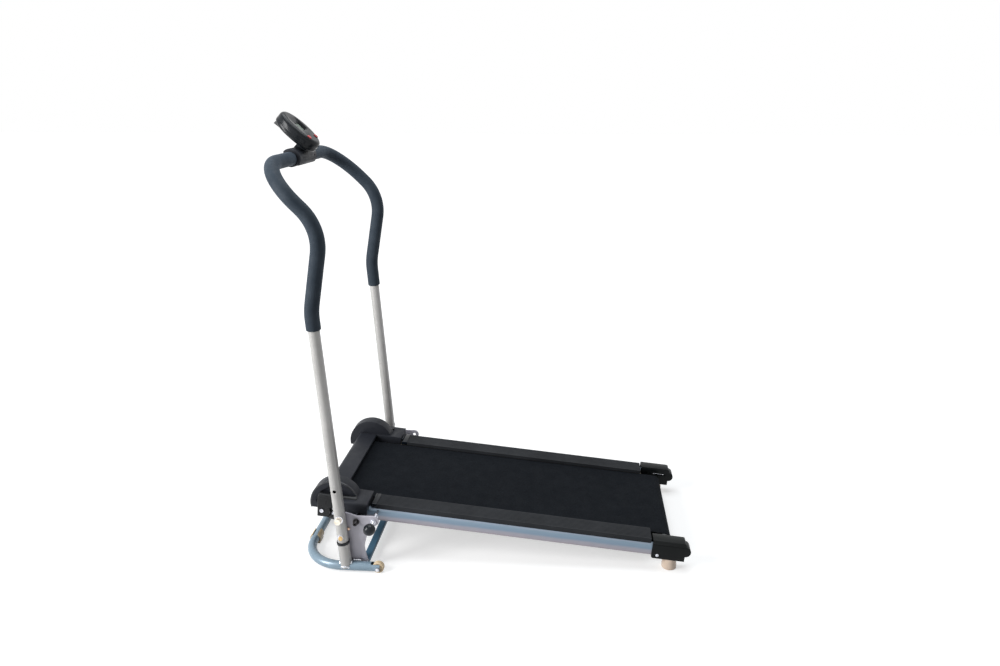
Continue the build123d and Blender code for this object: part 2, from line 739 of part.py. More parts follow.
def make_console_back():
    clamp = in_console(TOP)
    floor = -HALF_T + CONSOLE_WALL
    seam = CONSOLE_SEAM - GAP
    with BuildPart() as console_back:
        with BuildSketch(CONSOLE.offset(-HALF_T)):
            Ellipse(CONSOLE_L / 2, CONSOLE_W / 2)
        extrude(amount=HALF_T + seam)
        fillet(console_back.faces().sort_by(CONSOLE_OUT)[0].edges(), radius=CONSOLE_BACK_R)
        with BuildSketch(CONSOLE.offset(-HALF_T + CONSOLE_BACK_R)):
            Ellipse(CONSOLE_L / 2 - CONSOLE_WALL, CONSOLE_W / 2 - CONSOLE_WALL)
        extrude(amount=HALF_T, mode=Mode.SUBTRACT)
        # sloping foot of the cavity, inside the rounded back edge
        with BuildSketch(CONSOLE.offset(floor)):
            Ellipse(CONSOLE_L / 2 - CONSOLE_BACK_R, CONSOLE_W / 2 - CONSOLE_BACK_R)
        with BuildSketch(CONSOLE.offset(-HALF_T + CONSOLE_BACK_R)):
            Ellipse(CONSOLE_L / 2 - CONSOLE_WALL, CONSOLE_W / 2 - CONSOLE_WALL)
        loft(mode=Mode.SUBTRACT)
        # posts for the circuit board
        with BuildSketch(CONSOLE.offset(floor)):
            with GridLocations(CIRCUIT_L - 2 * POST_INSET, CIRCUIT_W - 2 * POST_INSET, 2, 2):
                Circle(POST_R)
        extrude(amount=CIRCUIT_FLOOR - floor - GAP)
        # neck down to the clamp sleeve
        with BuildSketch(console_side(0)):
            with BuildLine():
                Polyline(
                    (NECK_TOP[0], -HALF_T + GAP),
                    (NECK_TOP[1], -HALF_T + GAP),
                    (clamp[0], clamp[1]),
                    (clamp[0] - CLAMP_R, clamp[1]),
                    close=True,
                )
            make_face()
            with Locations(clamp):
                Circle(SADDLE_R + GAP, mode=Mode.SUBTRACT)
        extrude(amount=NECK_HALF, both=True)
        # block for the sensor lead, high on the back
        high, knee, toe = LEAD_BLOCK
        root = -HALF_T + CONSOLE_WALL / 2
        with BuildSketch(console_side(0)):
            with BuildLine():
                Polyline(
                    (high, root), (high - 1, -HALF_T - LEAD_BLOCK_H[0]),
                    (knee, -HALF_T - LEAD_BLOCK_H[1]), (toe, root), close=True,
                )
            make_face()
        extrude(amount=LEAD_BLOCK_W / 2, both=True)
    console_back.part.label = "console_back"
    export_step(console_back.part, "parts/console_back.step")


def make_circuit_board():
    with BuildPart() as circuit_board:
        with BuildSketch(CONSOLE.offset(CIRCUIT_FLOOR)):
            RectangleRounded(CIRCUIT_L, CIRCUIT_W, CIRCUIT_CORNER)
        extrude(amount=CIRCUIT_T)
    circuit_board.part.label = "circuit_board"
    export_step(circuit_board.part, "parts/circuit_board.step")


def make_console_front():
    with BuildPart() as console_front:
        with BuildSketch(CONSOLE.offset(CONSOLE_SEAM)):
            Ellipse(CONSOLE_L / 2, CONSOLE_W / 2)
        extrude(amount=HALF_T - CONSOLE_SEAM)
        fillet(console_front.faces().sort_by(CONSOLE_OUT)[-1].edges(), radius=CONSOLE_FRONT_R)
        with BuildSketch(CONSOLE.offset(CONSOLE_SEAM)):
            Ellipse(CONSOLE_L / 2 - CONSOLE_WALL, CONSOLE_W / 2 - CONSOLE_WALL)
        extrude(amount=FACE_UNDER - CONSOLE_SEAM, mode=Mode.SUBTRACT)
        with BuildSketch(CONSOLE.offset(HALF_T)):
            with Locations((RECESS_U, 0)):
                RectangleRounded(RECESS_L, RECESS_W, RECESS_R)
        with BuildSketch(CONSOLE.offset(HALF_T - RECESS_D)):
            with Locations((LCD_U, 0)):
                RectangleRounded(LCD_L, LCD_W, LCD_R)
        loft(mode=Mode.SUBTRACT)
        with BuildSketch(CONSOLE.offset(FACE_UNDER)):
            with Locations((LCD_U, 0)):
                RectangleRounded(LCD_L, LCD_W, LCD_R)
            with Locations((BUTTON_U, -BUTTON_V), (BUTTON_U, BUTTON_V)):
                Circle(BUTTON_R + BUTTON_PLAY)
        extrude(amount=FACE_T, mode=Mode.SUBTRACT)
    console_front.part.label = "console_front"
    export_step(console_front.part, "parts/console_front.step")


def make_display_window():
    with BuildPart() as display_window:
        with BuildSketch(CONSOLE.offset(FACE_UNDER - GAP)):
            with Locations((LCD_U, 0)):
                RectangleRounded(LCD_L + LCD_LAP, LCD_W + LCD_LAP, LCD_R)
        extrude(amount=-WINDOW_T)
    display_window.part.label = "display_window"
    export_step(display_window.part, "parts/display_window.step")


def make_button(name, side):
    spot = (BUTTON_U, side * BUTTON_V)
    with BuildPart() as button:
        with BuildSketch(CONSOLE.offset(FACE_UNDER - BUTTON_PLAY)):
            with Locations(spot):
                Circle(BUTTON_R)
        extrude(amount=FACE_T + BUTTON_PLAY + BUTTON_RISE)
        fillet(button.faces().sort_by(CONSOLE_OUT)[-1].edges(), radius=BUTTON_EDGE)
        with BuildSketch(CONSOLE.offset(FACE_UNDER - BUTTON_PLAY)):
            with Locations(spot):
                Circle(BUTTON_R + BUTTON_FLANGE)
        extrude(amount=-BUTTON_FLANGE_T)
    button.part.label = f"{name}_button"
    export_step(button.part, f"parts/{name}_button.step")


# ---------------------------------------------------------------- side plates, pivot, lock
def make_side_plate(name, side):
    middle = side * (PLATE_IN + PLATE_OUT) / 2
    heel = CROSS_X - CROSS_W / 2 - GAP
    step = LEG_Z + CROSS_H / 2 + GAP
    toe = CROSS_X + CROSS_W / 2
    sole = LEG_Z - 2
    ear_x, ear_z = EAR
    brow = ear_z + EAR_R
    crest = BOLT_Z + PLATE_RISE
    waist_z = (step + ear_z) / 2
    with BuildPart() as plate:
        with BuildSketch(side_plane(middle)):
            with BuildLine():
                Polyline(
                    (toe, step), (heel, step), (heel, sole), (PLATE_FRONT, sole),
                    (PLATE_RING_X, 2 * LEG_Z), (PLATE_RING_X, RING_TOP + 3),
                    (PLATE_BOLT_X, RING_TOP + 6), (PLATE_BOLT_X, crest),
                    ((PLATE_BOLT_X + PIVOT[0]) / 2, (crest + brow) / 2 + 1),
                    (PIVOT[0] + 2, brow), (ear_x, brow),
                )
                ThreePointArc((ear_x, brow), (ear_x + EAR_R, ear_z), (ear_x, ear_z - EAR_R))
                Spline(
                    (ear_x, ear_z - EAR_R),
                    ((ear_x + 2 * PLATE_WAIST) / 3, (ear_z - EAR_R + waist_z) / 2 + EAR_R / 2),
                    (PLATE_WAIST, waist_z),
                    (toe, step),
                    tangents=((-1, 0), (0.25, -1)),
                )
            make_face()
            with Locations(PIVOT):
                Circle(PIVOT_R + GAP, mode=Mode.SUBTRACT)
            with Locations(EAR):
                Circle(BUSH_R + GAP if side < 0 else SHANK_R, mode=Mode.SUBTRACT)
        extrude(amount=PLATE_T / 2, both=True)
        # weld strip between the plate and the leg
        with BuildSketch(Plane.YZ.offset(UPRIGHT_X + PLATE_FRONT + 1)):
            with Locations((side * (PLATE_OUT - GAP), LEG_Z)):
                Rectangle(TUBE_R, WELD_H, align=(Align.MIN if side > 0 else Align.MAX, Align.MIN))
            with Locations((side * LEG_Y, LEG_Z)):
                Circle(BASE_R + GAP, mode=Mode.SUBTRACT)
            with Locations((side * LEG_Y, LEG_Z)):
                Rectangle(2 * BASE_R, 2 * BASE_R, mode=Mode.SUBTRACT,
                          align=(Align.MIN if side > 0 else Align.MAX, Align.CENTER))
        extrude(amount=heel - PLATE_FRONT - 2)
        with BuildSketch(side_plane(side * PLATE_IN)):
            with Locations(RIVET):
                Circle(RIVET_R)
        extrude(amount=RIVET_H, both=True)
    plate.part.label = f"{name}_side_plate"
    export_step(plate.part, f"parts/{name}_side_plate.step")


def make_pivot_pins():
    with BuildPart() as pivot_pins:
        for side in SIDES.values():
            spans = (
                (RAIL_IN - 2 * CLEAR, PIVOT_END, PIVOT_R),
                (RAIL_OUT + CLEAR, PLATE_IN - GAP, PIVOT_SHOULDER_R),
            )
            for inner, outer, radius in spans:
                with BuildSketch(side_plane(side * (inner + outer) / 2)):
                    with Locations(PIVOT):
                        Circle(radius)
                extrude(amount=(outer - inner) / 2, both=True)
        with BuildSketch(side_plane(0)):
            with Locations(PIVOT):
                Circle(PIVOT_BORE_R)
        extrude(amount=PIVOT_END, both=True, mode=Mode.SUBTRACT)
    pivot_pins.part.label = "pivot_pins"
    export_step(pivot_pins.part, "parts/pivot_pins.step")


def make_pivot_rings():
    with BuildPart() as pivot_rings:
        for side in SIDES.values():
            with BuildSketch(side_plane(side * (PLATE_OUT + GAP + PIVOT_RING_T / 2))):
                with Locations(PIVOT):
                    Circle(PIVOT_SHOULDER_R)
                    Circle(PIVOT_R + GAP, mode=Mode.SUBTRACT)
            extrude(amount=PIVOT_RING_T / 2, both=True)
    pivot_rings.part.label = "pivot_rings"
    export_step(pivot_rings.part, "parts/pivot_rings.step")


def round_along_y(inner, outer, radius, centre):
    """Round length across the machine on the left side, between two widths."""
    with BuildSketch(side_plane(-(inner + outer) / 2)) as section:
        with Locations(centre):
            Circle(radius)
    extrude(section.sketch, amount=(outer - inner) / 2, both=True)


def make_lock():
    with BuildPart() as lock_bushing:
        round_along_y(BUSH_IN, BUSH_OUT, BUSH_R, EAR)
        with BuildSketch(side_plane(-BUSH_IN)):
            with Locations(EAR):
                Circle(SHANK_R + RUN)
        extrude(amount=2 * EAR_R, both=True, mode=Mode.SUBTRACT)
    lock_bushing.part.label = "lock_bushing"
    export_step(lock_bushing.part, "parts/lock_bushing.step")

    with BuildPart() as lock_pin:
        round_along_y(COLLAR_IN, SHANK_END, SHANK_R, EAR)
        round_along_y(COLLAR_IN, COLLAR_OUT, COLLAR_R, EAR)
        round_along_y(PIN_TIP, COLLAR_IN, PIN_R, EAR)
        chamfer(lock_pin.faces().sort_by(Axis.Y)[-1].edges(), length=TIP_CHAMFER)
    lock_pin.part.label = "lock_pin"
    export_step(lock_pin.part, "parts/lock_pin.step")

    with BuildPart() as lock_knob:
        with Locations((UPRIGHT_X + EAR[0], -BALL_Y, EAR[1])):
            Sphere(BALL_R)
        with BuildSketch(side_plane(-SHANK_END + BALL_R)):
            with Locations(EAR):
                Circle(SHANK_R + GAP)
        extrude(amount=BALL_R + GAP, mode=Mode.SUBTRACT)
    lock_knob.part.label = "lock_knob"
    export_step(lock_knob.part, "parts/lock_knob.step")


def make_front_stop_bracket():
    tilt = radians(STOP_TILT)
    reach = BASE_R + GAP
    plane = Plane(
        origin=(UPRIGHT_X + BASE_FRONT_X + reach * sin(tilt), 0, LEG_Z + reach * cos(tilt)),
        x_dir=(cos(tilt), 0, -sin(tilt)),
        z_dir=(sin(tilt), 0, cos(tilt)),
    )
    spots = [(STOP_BOLT_U, -STOP_BOLT_Y), (STOP_BOLT_U, STOP_BOLT_Y)]
    with BuildPart() as bracket:
        with BuildSketch(plane):
            with Locations((STOP_L / 2 - STOP_SET, 0)):
                RectangleRounded(STOP_L, STOP_W, STOP_CORNER)
        extrude(amount=STOP_T)
        with BuildSketch(plane.offset(-NUT_H)):
            with Locations(*spots):
                Circle(STOP_BOLT_R)
        extrude(amount=NUT_H + STOP_T + NUT_H + STOP_BOLT_TAIL)
        with BuildSketch(plane.offset(STOP_T)):
            with Locations(*spots):
                RegularPolygon(NUT_AF / 2, 6, major_radius=False)
        extrude(amount=NUT_H)
        with BuildSketch(plane.offset(-NUT_H)):
            with Locations(*spots):
                RegularPolygon(NUT_AF / 2, 6, major_radius=False)
        extrude(amount=NUT_H)
    bracket.part.label = "front_stop_bracket"
    export_step(bracket.part, "parts/front_stop_bracket.step")


# ---------------------------------------------------------------- deck frame
def rail_profile(extra=0.0):
    SlotOverall(RAIL_H + 2 * extra, RAIL_W + 2 * extra, rotation=90)


def make_side_rail(name, side):
    with BuildPart() as rail:
        with BuildSketch(deck_cross(RAIL_FRONT)):
            with Locations((side * RAIL_Y, 0)):
                rail_profile()
                SlotOverall(RAIL_H - 2 * RAIL_WALL, RAIL_W - 2 * RAIL_WALL,
                            rotation=90, mode=Mode.SUBTRACT)
        extrude(amount=RAIL_REAR - RAIL_FRONT)
        # pivot hole through both walls, lock hole in the outer wall
        with BuildSketch(deck_side(side * RAIL_Y)):
            with Locations(in_deck(PIVOT)):
                Circle(PIVOT_R + RUN)
        extrude(amount=RAIL_W, both=True, mode=Mode.SUBTRACT)
        with BuildSketch(deck_side(side * RAIL_OUT)):
            with Locations(in_deck(EAR)):
                Circle(PIN_R + PIN_HOLE_PLAY)
            with Locations(CAP_SCREW):
                Circle(CAP_SCREW_R + GAP)
        extrude(amount=RAIL_W / 2, both=True, mode=Mode.SUBTRACT)
        with BuildSketch(deck_side(side * RAIL_IN)):
            with Locations((REAR_ROLLER_X, ROLLER_DZ)):
                SlotOverall(3 * REAR_AXLE_R, 2 * REAR_AXLE_R + CLEAR)
        extrude(amount=RAIL_W / 2, both=True, mode=Mode.SUBTRACT)
    rail.part.label = f"{name}_side_rail"
    export_step(rail.part, f"parts/{name}_side_rail.step")


def make_deck_board():
    with BuildPart() as deck_board:
        with BuildSketch(DECK.offset(BOARD_TOP - DECK_BOARD_T)):
            with Locations(((DECK_BOARD_FRONT + DECK_BOARD_REAR) / 2, 0)):
                Rectangle(DECK_BOARD_REAR - DECK_BOARD_FRONT, 2 * (RAIL_IN - 1))
        extrude(amount=DECK_BOARD_T)
    deck_board.part.label = "deck_board"
    export_step(deck_board.part, "parts/deck_board.step")


def make_deck_cross_tubes():
    top = BOARD_TOP - DECK_BOARD_T - GAP
    with BuildPart() as cross_tubes:
        for station in CROSS_TUBES:
            with BuildSketch(deck_side(0)):
                with Locations((station, top - CROSS_TUBE_H / 2)):
                    RectangleRounded(CROSS_TUBE_W, CROSS_TUBE_H, 1.5 * RAIL_WALL)
                    Rectangle(CROSS_TUBE_W - 2 * RAIL_WALL, CROSS_TUBE_H - 2 * RAIL_WALL,
                              mode=Mode.SUBTRACT)
            extrude(amount=RAIL_IN - GAP, both=True)
    cross_tubes.part.label = "deck_cross_tubes"
    export_step(cross_tubes.part, "parts/deck_cross_tubes.step")


def make_foot_rail(name, side):
    middle = side * (FOOT_IN + FOOT_OUT) / 2
    pitch = (FOOT_W - 2 * FOOT_MARGIN) / GROOVES
    with BuildPart() as foot_rail:
        with BuildSketch(deck_cross(FOOT_FRONT)):
            with Locations((middle, FOOT_TOP)):
                Rectangle(FOOT_W, FOOT_WALL + GROOVE_D, align=(Align.CENTER, Align.MAX))
            # lip over the belt edge, skirt beside the rail, feet on the board
            with Locations((side * (FOOT_IN + FOOT_WALL / 2), FOOT_LIP)):
                Rectangle(FOOT_WALL, FOOT_TOP - FOOT_LIP, align=(Align.CENTER, Align.MIN))
            for y in (FOOT_IN + 4 * FOOT_WALL, RAIL_IN - 2 * FOOT_WALL):
                with Locations((side * y, BOARD_TOP + GAP)):
                    Rectangle(FOOT_WALL, FOOT_TOP - BOARD_TOP - FOOT_BOARD, align=(Align.CENTER, Align.MIN))
            with Locations((side * (FOOT_OUT - FOOT_WALL / 2), 0)):
                Rectangle(FOOT_WALL, FOOT_TOP, align=(Align.CENTER, Align.MIN))
            with Locations((side * RAIL_Y, 0)):
                rail_profile(extra=GAP)
                SlotOverall(RAIL_H + 2 * GAP, RAIL_W + 2 * GAP, rotation=90, mode=Mode.SUBTRACT)
            with Locations((middle, FOOT_TOP)):
                with GridLocations(pitch, 1, GROOVES, 1):
                    Rectangle(GROOVE_W, 2 * GROOVE_D, mode=Mode.SUBTRACT)
        extrude(amount=FOOT_REAR - FOOT_FRONT)
    foot_rail.part.label = f"{name}_foot_rail"
    export_step(foot_rail.part, f"parts/{name}_foot_rail.step")


def make_foot_rail_ends():
    with BuildPart() as ends:
        for side in SIDES.values():
            with BuildSketch(deck_cross(END_FRONT)):
                with Locations((side * (FOOT_IN + FOOT_OUT) / 2, FOOT_TOP + END_RISE)):
                    Rectangle(FOOT_W + 2 * END_RISE, FOOT_TOP + END_RISE - FOOT_LIP,
                              align=(Align.CENTER, Align.MAX))
            extrude(amount=END_L)
        front_top = ends.edges().filter_by(Axis.Y).group_by(DECK_ALONG)[0]
        fillet(front_top.group_by(DECK_UP)[-1], radius=END_ROUND)
    ends.part.label = "foot_rail_ends"
    export_step(ends.part, "parts/foot_rail_ends.step")


def make_running_belt():
    middle = (FRONT_ROLLER_X + REAR_ROLLER_X) / 2
    reach = REAR_ROLLER_X - FRONT_ROLLER_X
    with BuildPart() as belt:
        with BuildSketch(deck_side(0)):
            with Locations((middle, ROLLER_DZ)):
                SlotCenterToCenter(reach, 2 * BELT_OUT_R)
                SlotCenterToCenter(reach, 2 * BELT_IN_R, mode=Mode.SUBTRACT)
        extrude(amount=BELT_W / 2, both=True)
    belt.part.label = "running_belt"
    export_step(belt.part, "parts/running_belt.step")


# ---------------------------------------------------------------- rollers and flywheels
def make_front_roller():
    with BuildPart() as roller:
        with BuildSketch(deck_side(0)):
            with Locations((FRONT_ROLLER_X, ROLLER_DZ)):
                Circle(ROLLER_R)
        extrude(amount=ROLLER_HALF, both=True)
        with BuildSketch(deck_side(0)):
            with Locations((FRONT_ROLLER_X, ROLLER_DZ)):
                Circle(FRONT_AXLE_R)
        extrude(amount=BRACKET_OUT + AXLE_PROUD, both=True)
    roller.part.label = "front_roller"
    export_step(roller.part, "parts/front_roller.step")


def make_flywheels():
    spot = (FRONT_ROLLER_X, ROLLER_DZ)
    with BuildPart() as flywheels:
        for side in SIDES.values():
            with BuildSketch(deck_side(side * (FLYWHEEL_IN + FLYWHEEL_OUT) / 2)):
                with Locations(spot):
                    Circle(FLYWHEEL_R)
            extrude(amount=(FLYWHEEL_OUT - FLYWHEEL_IN) / 2, both=True)
            for face in (FLYWHEEL_IN, FLYWHEEL_OUT):
                with BuildSketch(deck_side(side * face)):
                    with Locations(spot):
                        Circle(FLYWHEEL_R - FLYWHEEL_RIM)
                        Circle(HUB_R, mode=Mode.SUBTRACT)
                extrude(amount=FLYWHEEL_DISH, both=True, mode=Mode.SUBTRACT)
        with BuildSketch(deck_side(0)):
            with Locations(spot):
                Circle(FRONT_AXLE_R + GAP)
        extrude(amount=RAIL_IN, both=True, mode=Mode.SUBTRACT)
    flywheels.part.label = "flywheels"
    export_step(flywheels.part, "parts/flywheels.step")


def make_rear_roller():
    spot = (REAR_ROLLER_X, ROLLER_DZ)
    with BuildPart() as roller:
        with BuildSketch(deck_side(0)):
            with Locations(spot):
                Circle(ROLLER_R)
                Circle(REAR_AXLE_R + RUN, mode=Mode.SUBTRACT)
        extrude(amount=ROLLER_HALF, both=True)
    roller.part.label = "rear_roller"
    export_step(roller.part, "parts/rear_roller.step")

    with BuildPart() as axle:
        with BuildSketch(deck_side(0)):
            with Locations(spot):
                Circle(REAR_AXLE_R)
        extrude(amount=REAR_AXLE_HALF, both=True)
    axle.part.label = "rear_axle"
    export_step(axle.part, "parts/rear_axle.step")


def make_roller_adjusters():
    block_front = REAR_ROLLER_X - REAR_AXLE_R - 1
    block_l = 2 * REAR_AXLE_R + 2
    block_foot = ROLLER_DZ - REAR_AXLE_R - 2
    tail = REAR_ROLLER_X + ADJUSTER_SLOT_L - 4
    head_h = 5.0
    with BuildPart() as adjusters:
        for side in SIDES.values():
            with BuildSketch(deck_side(side * ADJUSTER_Y)):
                with Locations((block_front, block_foot)):
                    Rectangle(block_l, ADJUSTER_DZ + ADJUSTER_R + 1 - block_foot,
                              align=(Align.MIN, Align.MIN))
                with Locations((REAR_ROLLER_X, ROLLER_DZ)):
                    Circle(REAR_AXLE_R + GAP, mode=Mode.SUBTRACT)
            extrude(amount=ADJUSTER_W / 2, both=True)
            with BuildSketch(deck_cross(block_front + block_l)):
                with Locations((side * ADJUSTER_Y, ADJUSTER_DZ)):
                    Circle(ADJUSTER_R)
            extrude(amount=tail - block_front - block_l)
            with BuildSketch(deck_cross(tail - head_h)):
                with Locations((side * ADJUSTER_Y, ADJUSTER_DZ)):
                    RegularPolygon(1.3 * ADJUSTER_R, 6, major_radius=False)
            extrude(amount=head_h)
    adjusters.part.label = "roller_adjusters"
    export_step(adjusters.part, "parts/roller_adjusters.step")


# ---------------------------------------------------------------- deck mouldings
def make_rear_cap(name, side):
    middle = side * (CAP_IN + CAP_OUT) / 2
    with BuildPart() as cap:
        with BuildSketch(deck_side(middle)):
            with Locations((CAP_FRONT, CAP_BOTTOM)):
                Rectangle(CAP_REAR - CAP_FRONT, CAP_TOP - CAP_BOTTOM, align=(Align.MIN, Align.MIN))
            with Locations((CAP_REAR, BOSS_DZ)):
                Circle(BOSS_R)
        extrude(amount=(CAP_OUT - CAP_IN) / 2, both=True)
        corners = cap.edges().filter_by(Axis.Y).sort_by(DECK_UP)
        fillet([corners[0], corners[-1]], radius=CAP_ROUND / 2)
        # hollow that takes the rail end
        with BuildSketch(deck_cross(CAP_FRONT)):
            with Locations((side * (CAP_IN + CAP_WALL), CAP_BOTTOM + CAP_WALL)):
                Rectangle(CAP_OUT - CAP_IN - 2 * CAP_WALL, CAP_TOP - CAP_BOTTOM - 2 * CAP_WALL,
                          align=(Align.MIN if side > 0 else Align.MAX, Align.MIN))
        extrude(amount=CAP_REAR - CAP_FRONT - 2 * CAP_WALL, mode=Mode.SUBTRACT)
        # long slot for the belt adjuster and a hole for the axle in the inner wall
        with BuildSketch(deck_side(side * CAP_IN)):
            with Locations((ADJUSTER_SLOT_X, ADJUSTER_DZ)):
                SlotOverall(ADJUSTER_SLOT_L, ADJUSTER_SLOT_H)
            with Locations((REAR_ROLLER_X, ROLLER_DZ)):
                SlotOverall(3 * REAR_AXLE_R, 2 * REAR_AXLE_R + 2 * CLEAR)
        extrude(amount=CAP_WALL + 1, both=True, mode=Mode.SUBTRACT)
        # groove along the outer face and the screw's recess
        with BuildSketch(deck_side(side * CAP_OUT)):
            with Locations(((CAP_FRONT + CAP_REAR) / 2, CAP_GROOVE_DZ)):
                Rectangle(2 * (CAP_REAR - CAP_FRONT), CAP_GROOVE_W)
            with Locations(CAP_SCREW):
                Circle(CAP_HEAD_R + CLEAR)
        extrude(amount=CAP_GROOVE_D, both=True, mode=Mode.SUBTRACT)
        with BuildSketch(deck_side(side * CAP_OUT)):
            with Locations(CAP_SCREW):
                Circle(CAP_SCREW_R + GAP)
        extrude(amount=2 * CAP_WALL, both=True, mode=Mode.SUBTRACT)
    cap.part.label = f"{name}_rear_cap"
    export_step(cap.part, f"parts/{name}_rear_cap.step")


def make_cap_screws():
    seat = CAP_OUT - CAP_GROOVE_D + GAP
    tip = RAIL_OUT - 3 * CAP_SCREW_R
    head = 1.6
    with BuildPart() as cap_screws:
        for side in SIDES.values():
            with BuildSketch(deck_side(side * (seat + tip) / 2)):
                with Locations(CAP_SCREW):
                    Circle(CAP_SCREW_R)
            extrude(amount=(seat - tip) / 2, both=True)
            with BuildSketch(deck_side(side * (seat + head / 2))):
                with Locations(CAP_SCREW):
                    Circle(CAP_HEAD_R)
            extrude(amount=head / 2, both=True)
    cap_screws.part.label = "cap_screws"
    export_step(cap_screws.part, "parts/cap_screws.step")


def make_rear_feet():
    tall = 2 * FOOT_BASE_R
    foot_x = UPRIGHT_X + from_deck(RAIL_REAR + FOOT_SET, CAP_BOTTOM)[0]
    with BuildPart() as rear_feet:
        with BuildSketch(Plane.XY):
            with Locations((foot_x, -FOOT_Y), (foot_x, FOOT_Y)):
                Circle(FOOT_BASE_R)
        extrude(amount=tall, taper=FOOT_TAPER)
        split(bisect_by=DECK.offset(CAP_BOTTOM - GAP), keep=Keep.BOTTOM)
    rear_feet.part.label = "rear_feet"
    export_step(rear_feet.part, "parts/rear_feet.step")


def make_front_cover():
    half = DOME_IN - CLEAR
    with BuildPart() as cover:
        with BuildSketch(deck_side(0)):
            with BuildLine():
                FilletPolyline(
                    (COVER_FRONT, COVER_NOSE), (COVER_FRONT, COVER_TOP),
                    (COVER_REAR, COVER_TOP), (COVER_REAR, COVER_LIP),
                    radius=[CAP_ROUND, COVER_WALL],
                )
                Polyline(
                    (COVER_REAR, COVER_LIP), (COVER_REAR - 2 * COVER_WALL, COVER_LIP),
                    (COVER_REAR - 2 * COVER_WALL, COVER_TOP - COVER_WALL),
                )
                FilletPolyline(
                    (COVER_REAR - 2 * COVER_WALL, COVER_TOP - COVER_WALL),
                    (COVER_FRONT + COVER_WALL, COVER_TOP - COVER_WALL),
                    (COVER_FRONT + COVER_WALL, COVER_NOSE),
                    radius=CAP_ROUND - COVER_WALL,
                )
                Line((COVER_FRONT + COVER_WALL, COVER_NOSE), (COVER_FRONT, COVER_NOSE))
            make_face()
        extrude(amount=half, both=True)
    cover.part.label = "front_cover"
    export_step(cover.part, "parts/front_cover.step")


def make_corner_cover(name, side):
    middle = side * (BLOCK_IN + BLOCK_OUT) / 2
    front = COVER_REAR + GAP
    with BuildPart() as block:
        with BuildSketch(deck_side(middle)):
            with Locations((front, BLOCK_BOTTOM)):
                Rectangle(BLOCK_REAR - front, COVER_TOP - BLOCK_BOTTOM, align=(Align.MIN, Align.MIN))
        extrude(amount=(BLOCK_OUT - BLOCK_IN) / 2, both=True)
        outer = block.faces().sort_by(Axis.Y)[-1 if side > 0 else 0].edges()
        fillet(outer.sort_by(DECK_UP)[-1], radius=CAP_ROUND / 2)
        # hollow from below
        with BuildSketch(deck_side(middle)):
            with Locations((front + COVER_WALL, BLOCK_BOTTOM)):
                Rectangle(BLOCK_REAR - front - 2 * COVER_WALL, COVER_TOP - BLOCK_BOTTOM - COVER_WALL,
                          align=(Align.MIN, Align.MIN))
        extrude(amount=(BLOCK_OUT - BLOCK_IN) / 2 - COVER_WALL, both=True, mode=Mode.SUBTRACT)
        # the flywheel housing stands up through the block
        with BuildSketch(deck_side(side * (DOME_IN + DOME_OUT) / 2)):
            with Locations(DOME):
                Circle(DOME_R + CLEAR)
        extrude(amount=(DOME_OUT - DOME_IN) / 2 + CLEAR, both=True, mode=Mode.SUBTRACT)
        # the end walls and the inner wall stay clear of the rail, bracket and board
        with BuildSketch(deck_cross(front)):
            with Locations((side * (BLOCK_IN - 1), BLOCK_BOTTOM)):
                Rectangle(BLOCK_OUT - BLOCK_IN - 3 * COVER_WALL, 2 * (BLOCK_INNER_BOTTOM - BLOCK_BOTTOM),
                          align=(Align.MIN if side > 0 else Align.MAX, Align.CENTER))
            with Locations((side * RAIL_Y, 0)):
                rail_profile(extra=CLEAR + 1)
        extrude(amount=BLOCK_REAR - front + 1, mode=Mode.SUBTRACT)
        # notch over the pivot pin, and a slot for the axle bracket
        with BuildSketch(deck_side(side * BLOCK_OUT)):
            with Locations(in_deck(PIVOT)):
                Circle(PIVOT_SHOULDER_R + 1)
        extrude(amount=2 * COVER_WALL, both=True, mode=Mode.SUBTRACT)
        with BuildSketch(deck_cross(front)):
            with Locations((side * (BRACKET_IN + BRACKET_OUT) / 2, COVER_TOP / 2)):
                Rectangle(BRACKET_OUT - BRACKET_IN + 2 * CLEAR, COVER_TOP - 3)
        extrude(amount=COVER_WALL + 1, both=True, mode=Mode.SUBTRACT)
    block.part.label = f"{name}_corner_cover"
    export_step(block.part, f"parts/{name}_corner_cover.step")


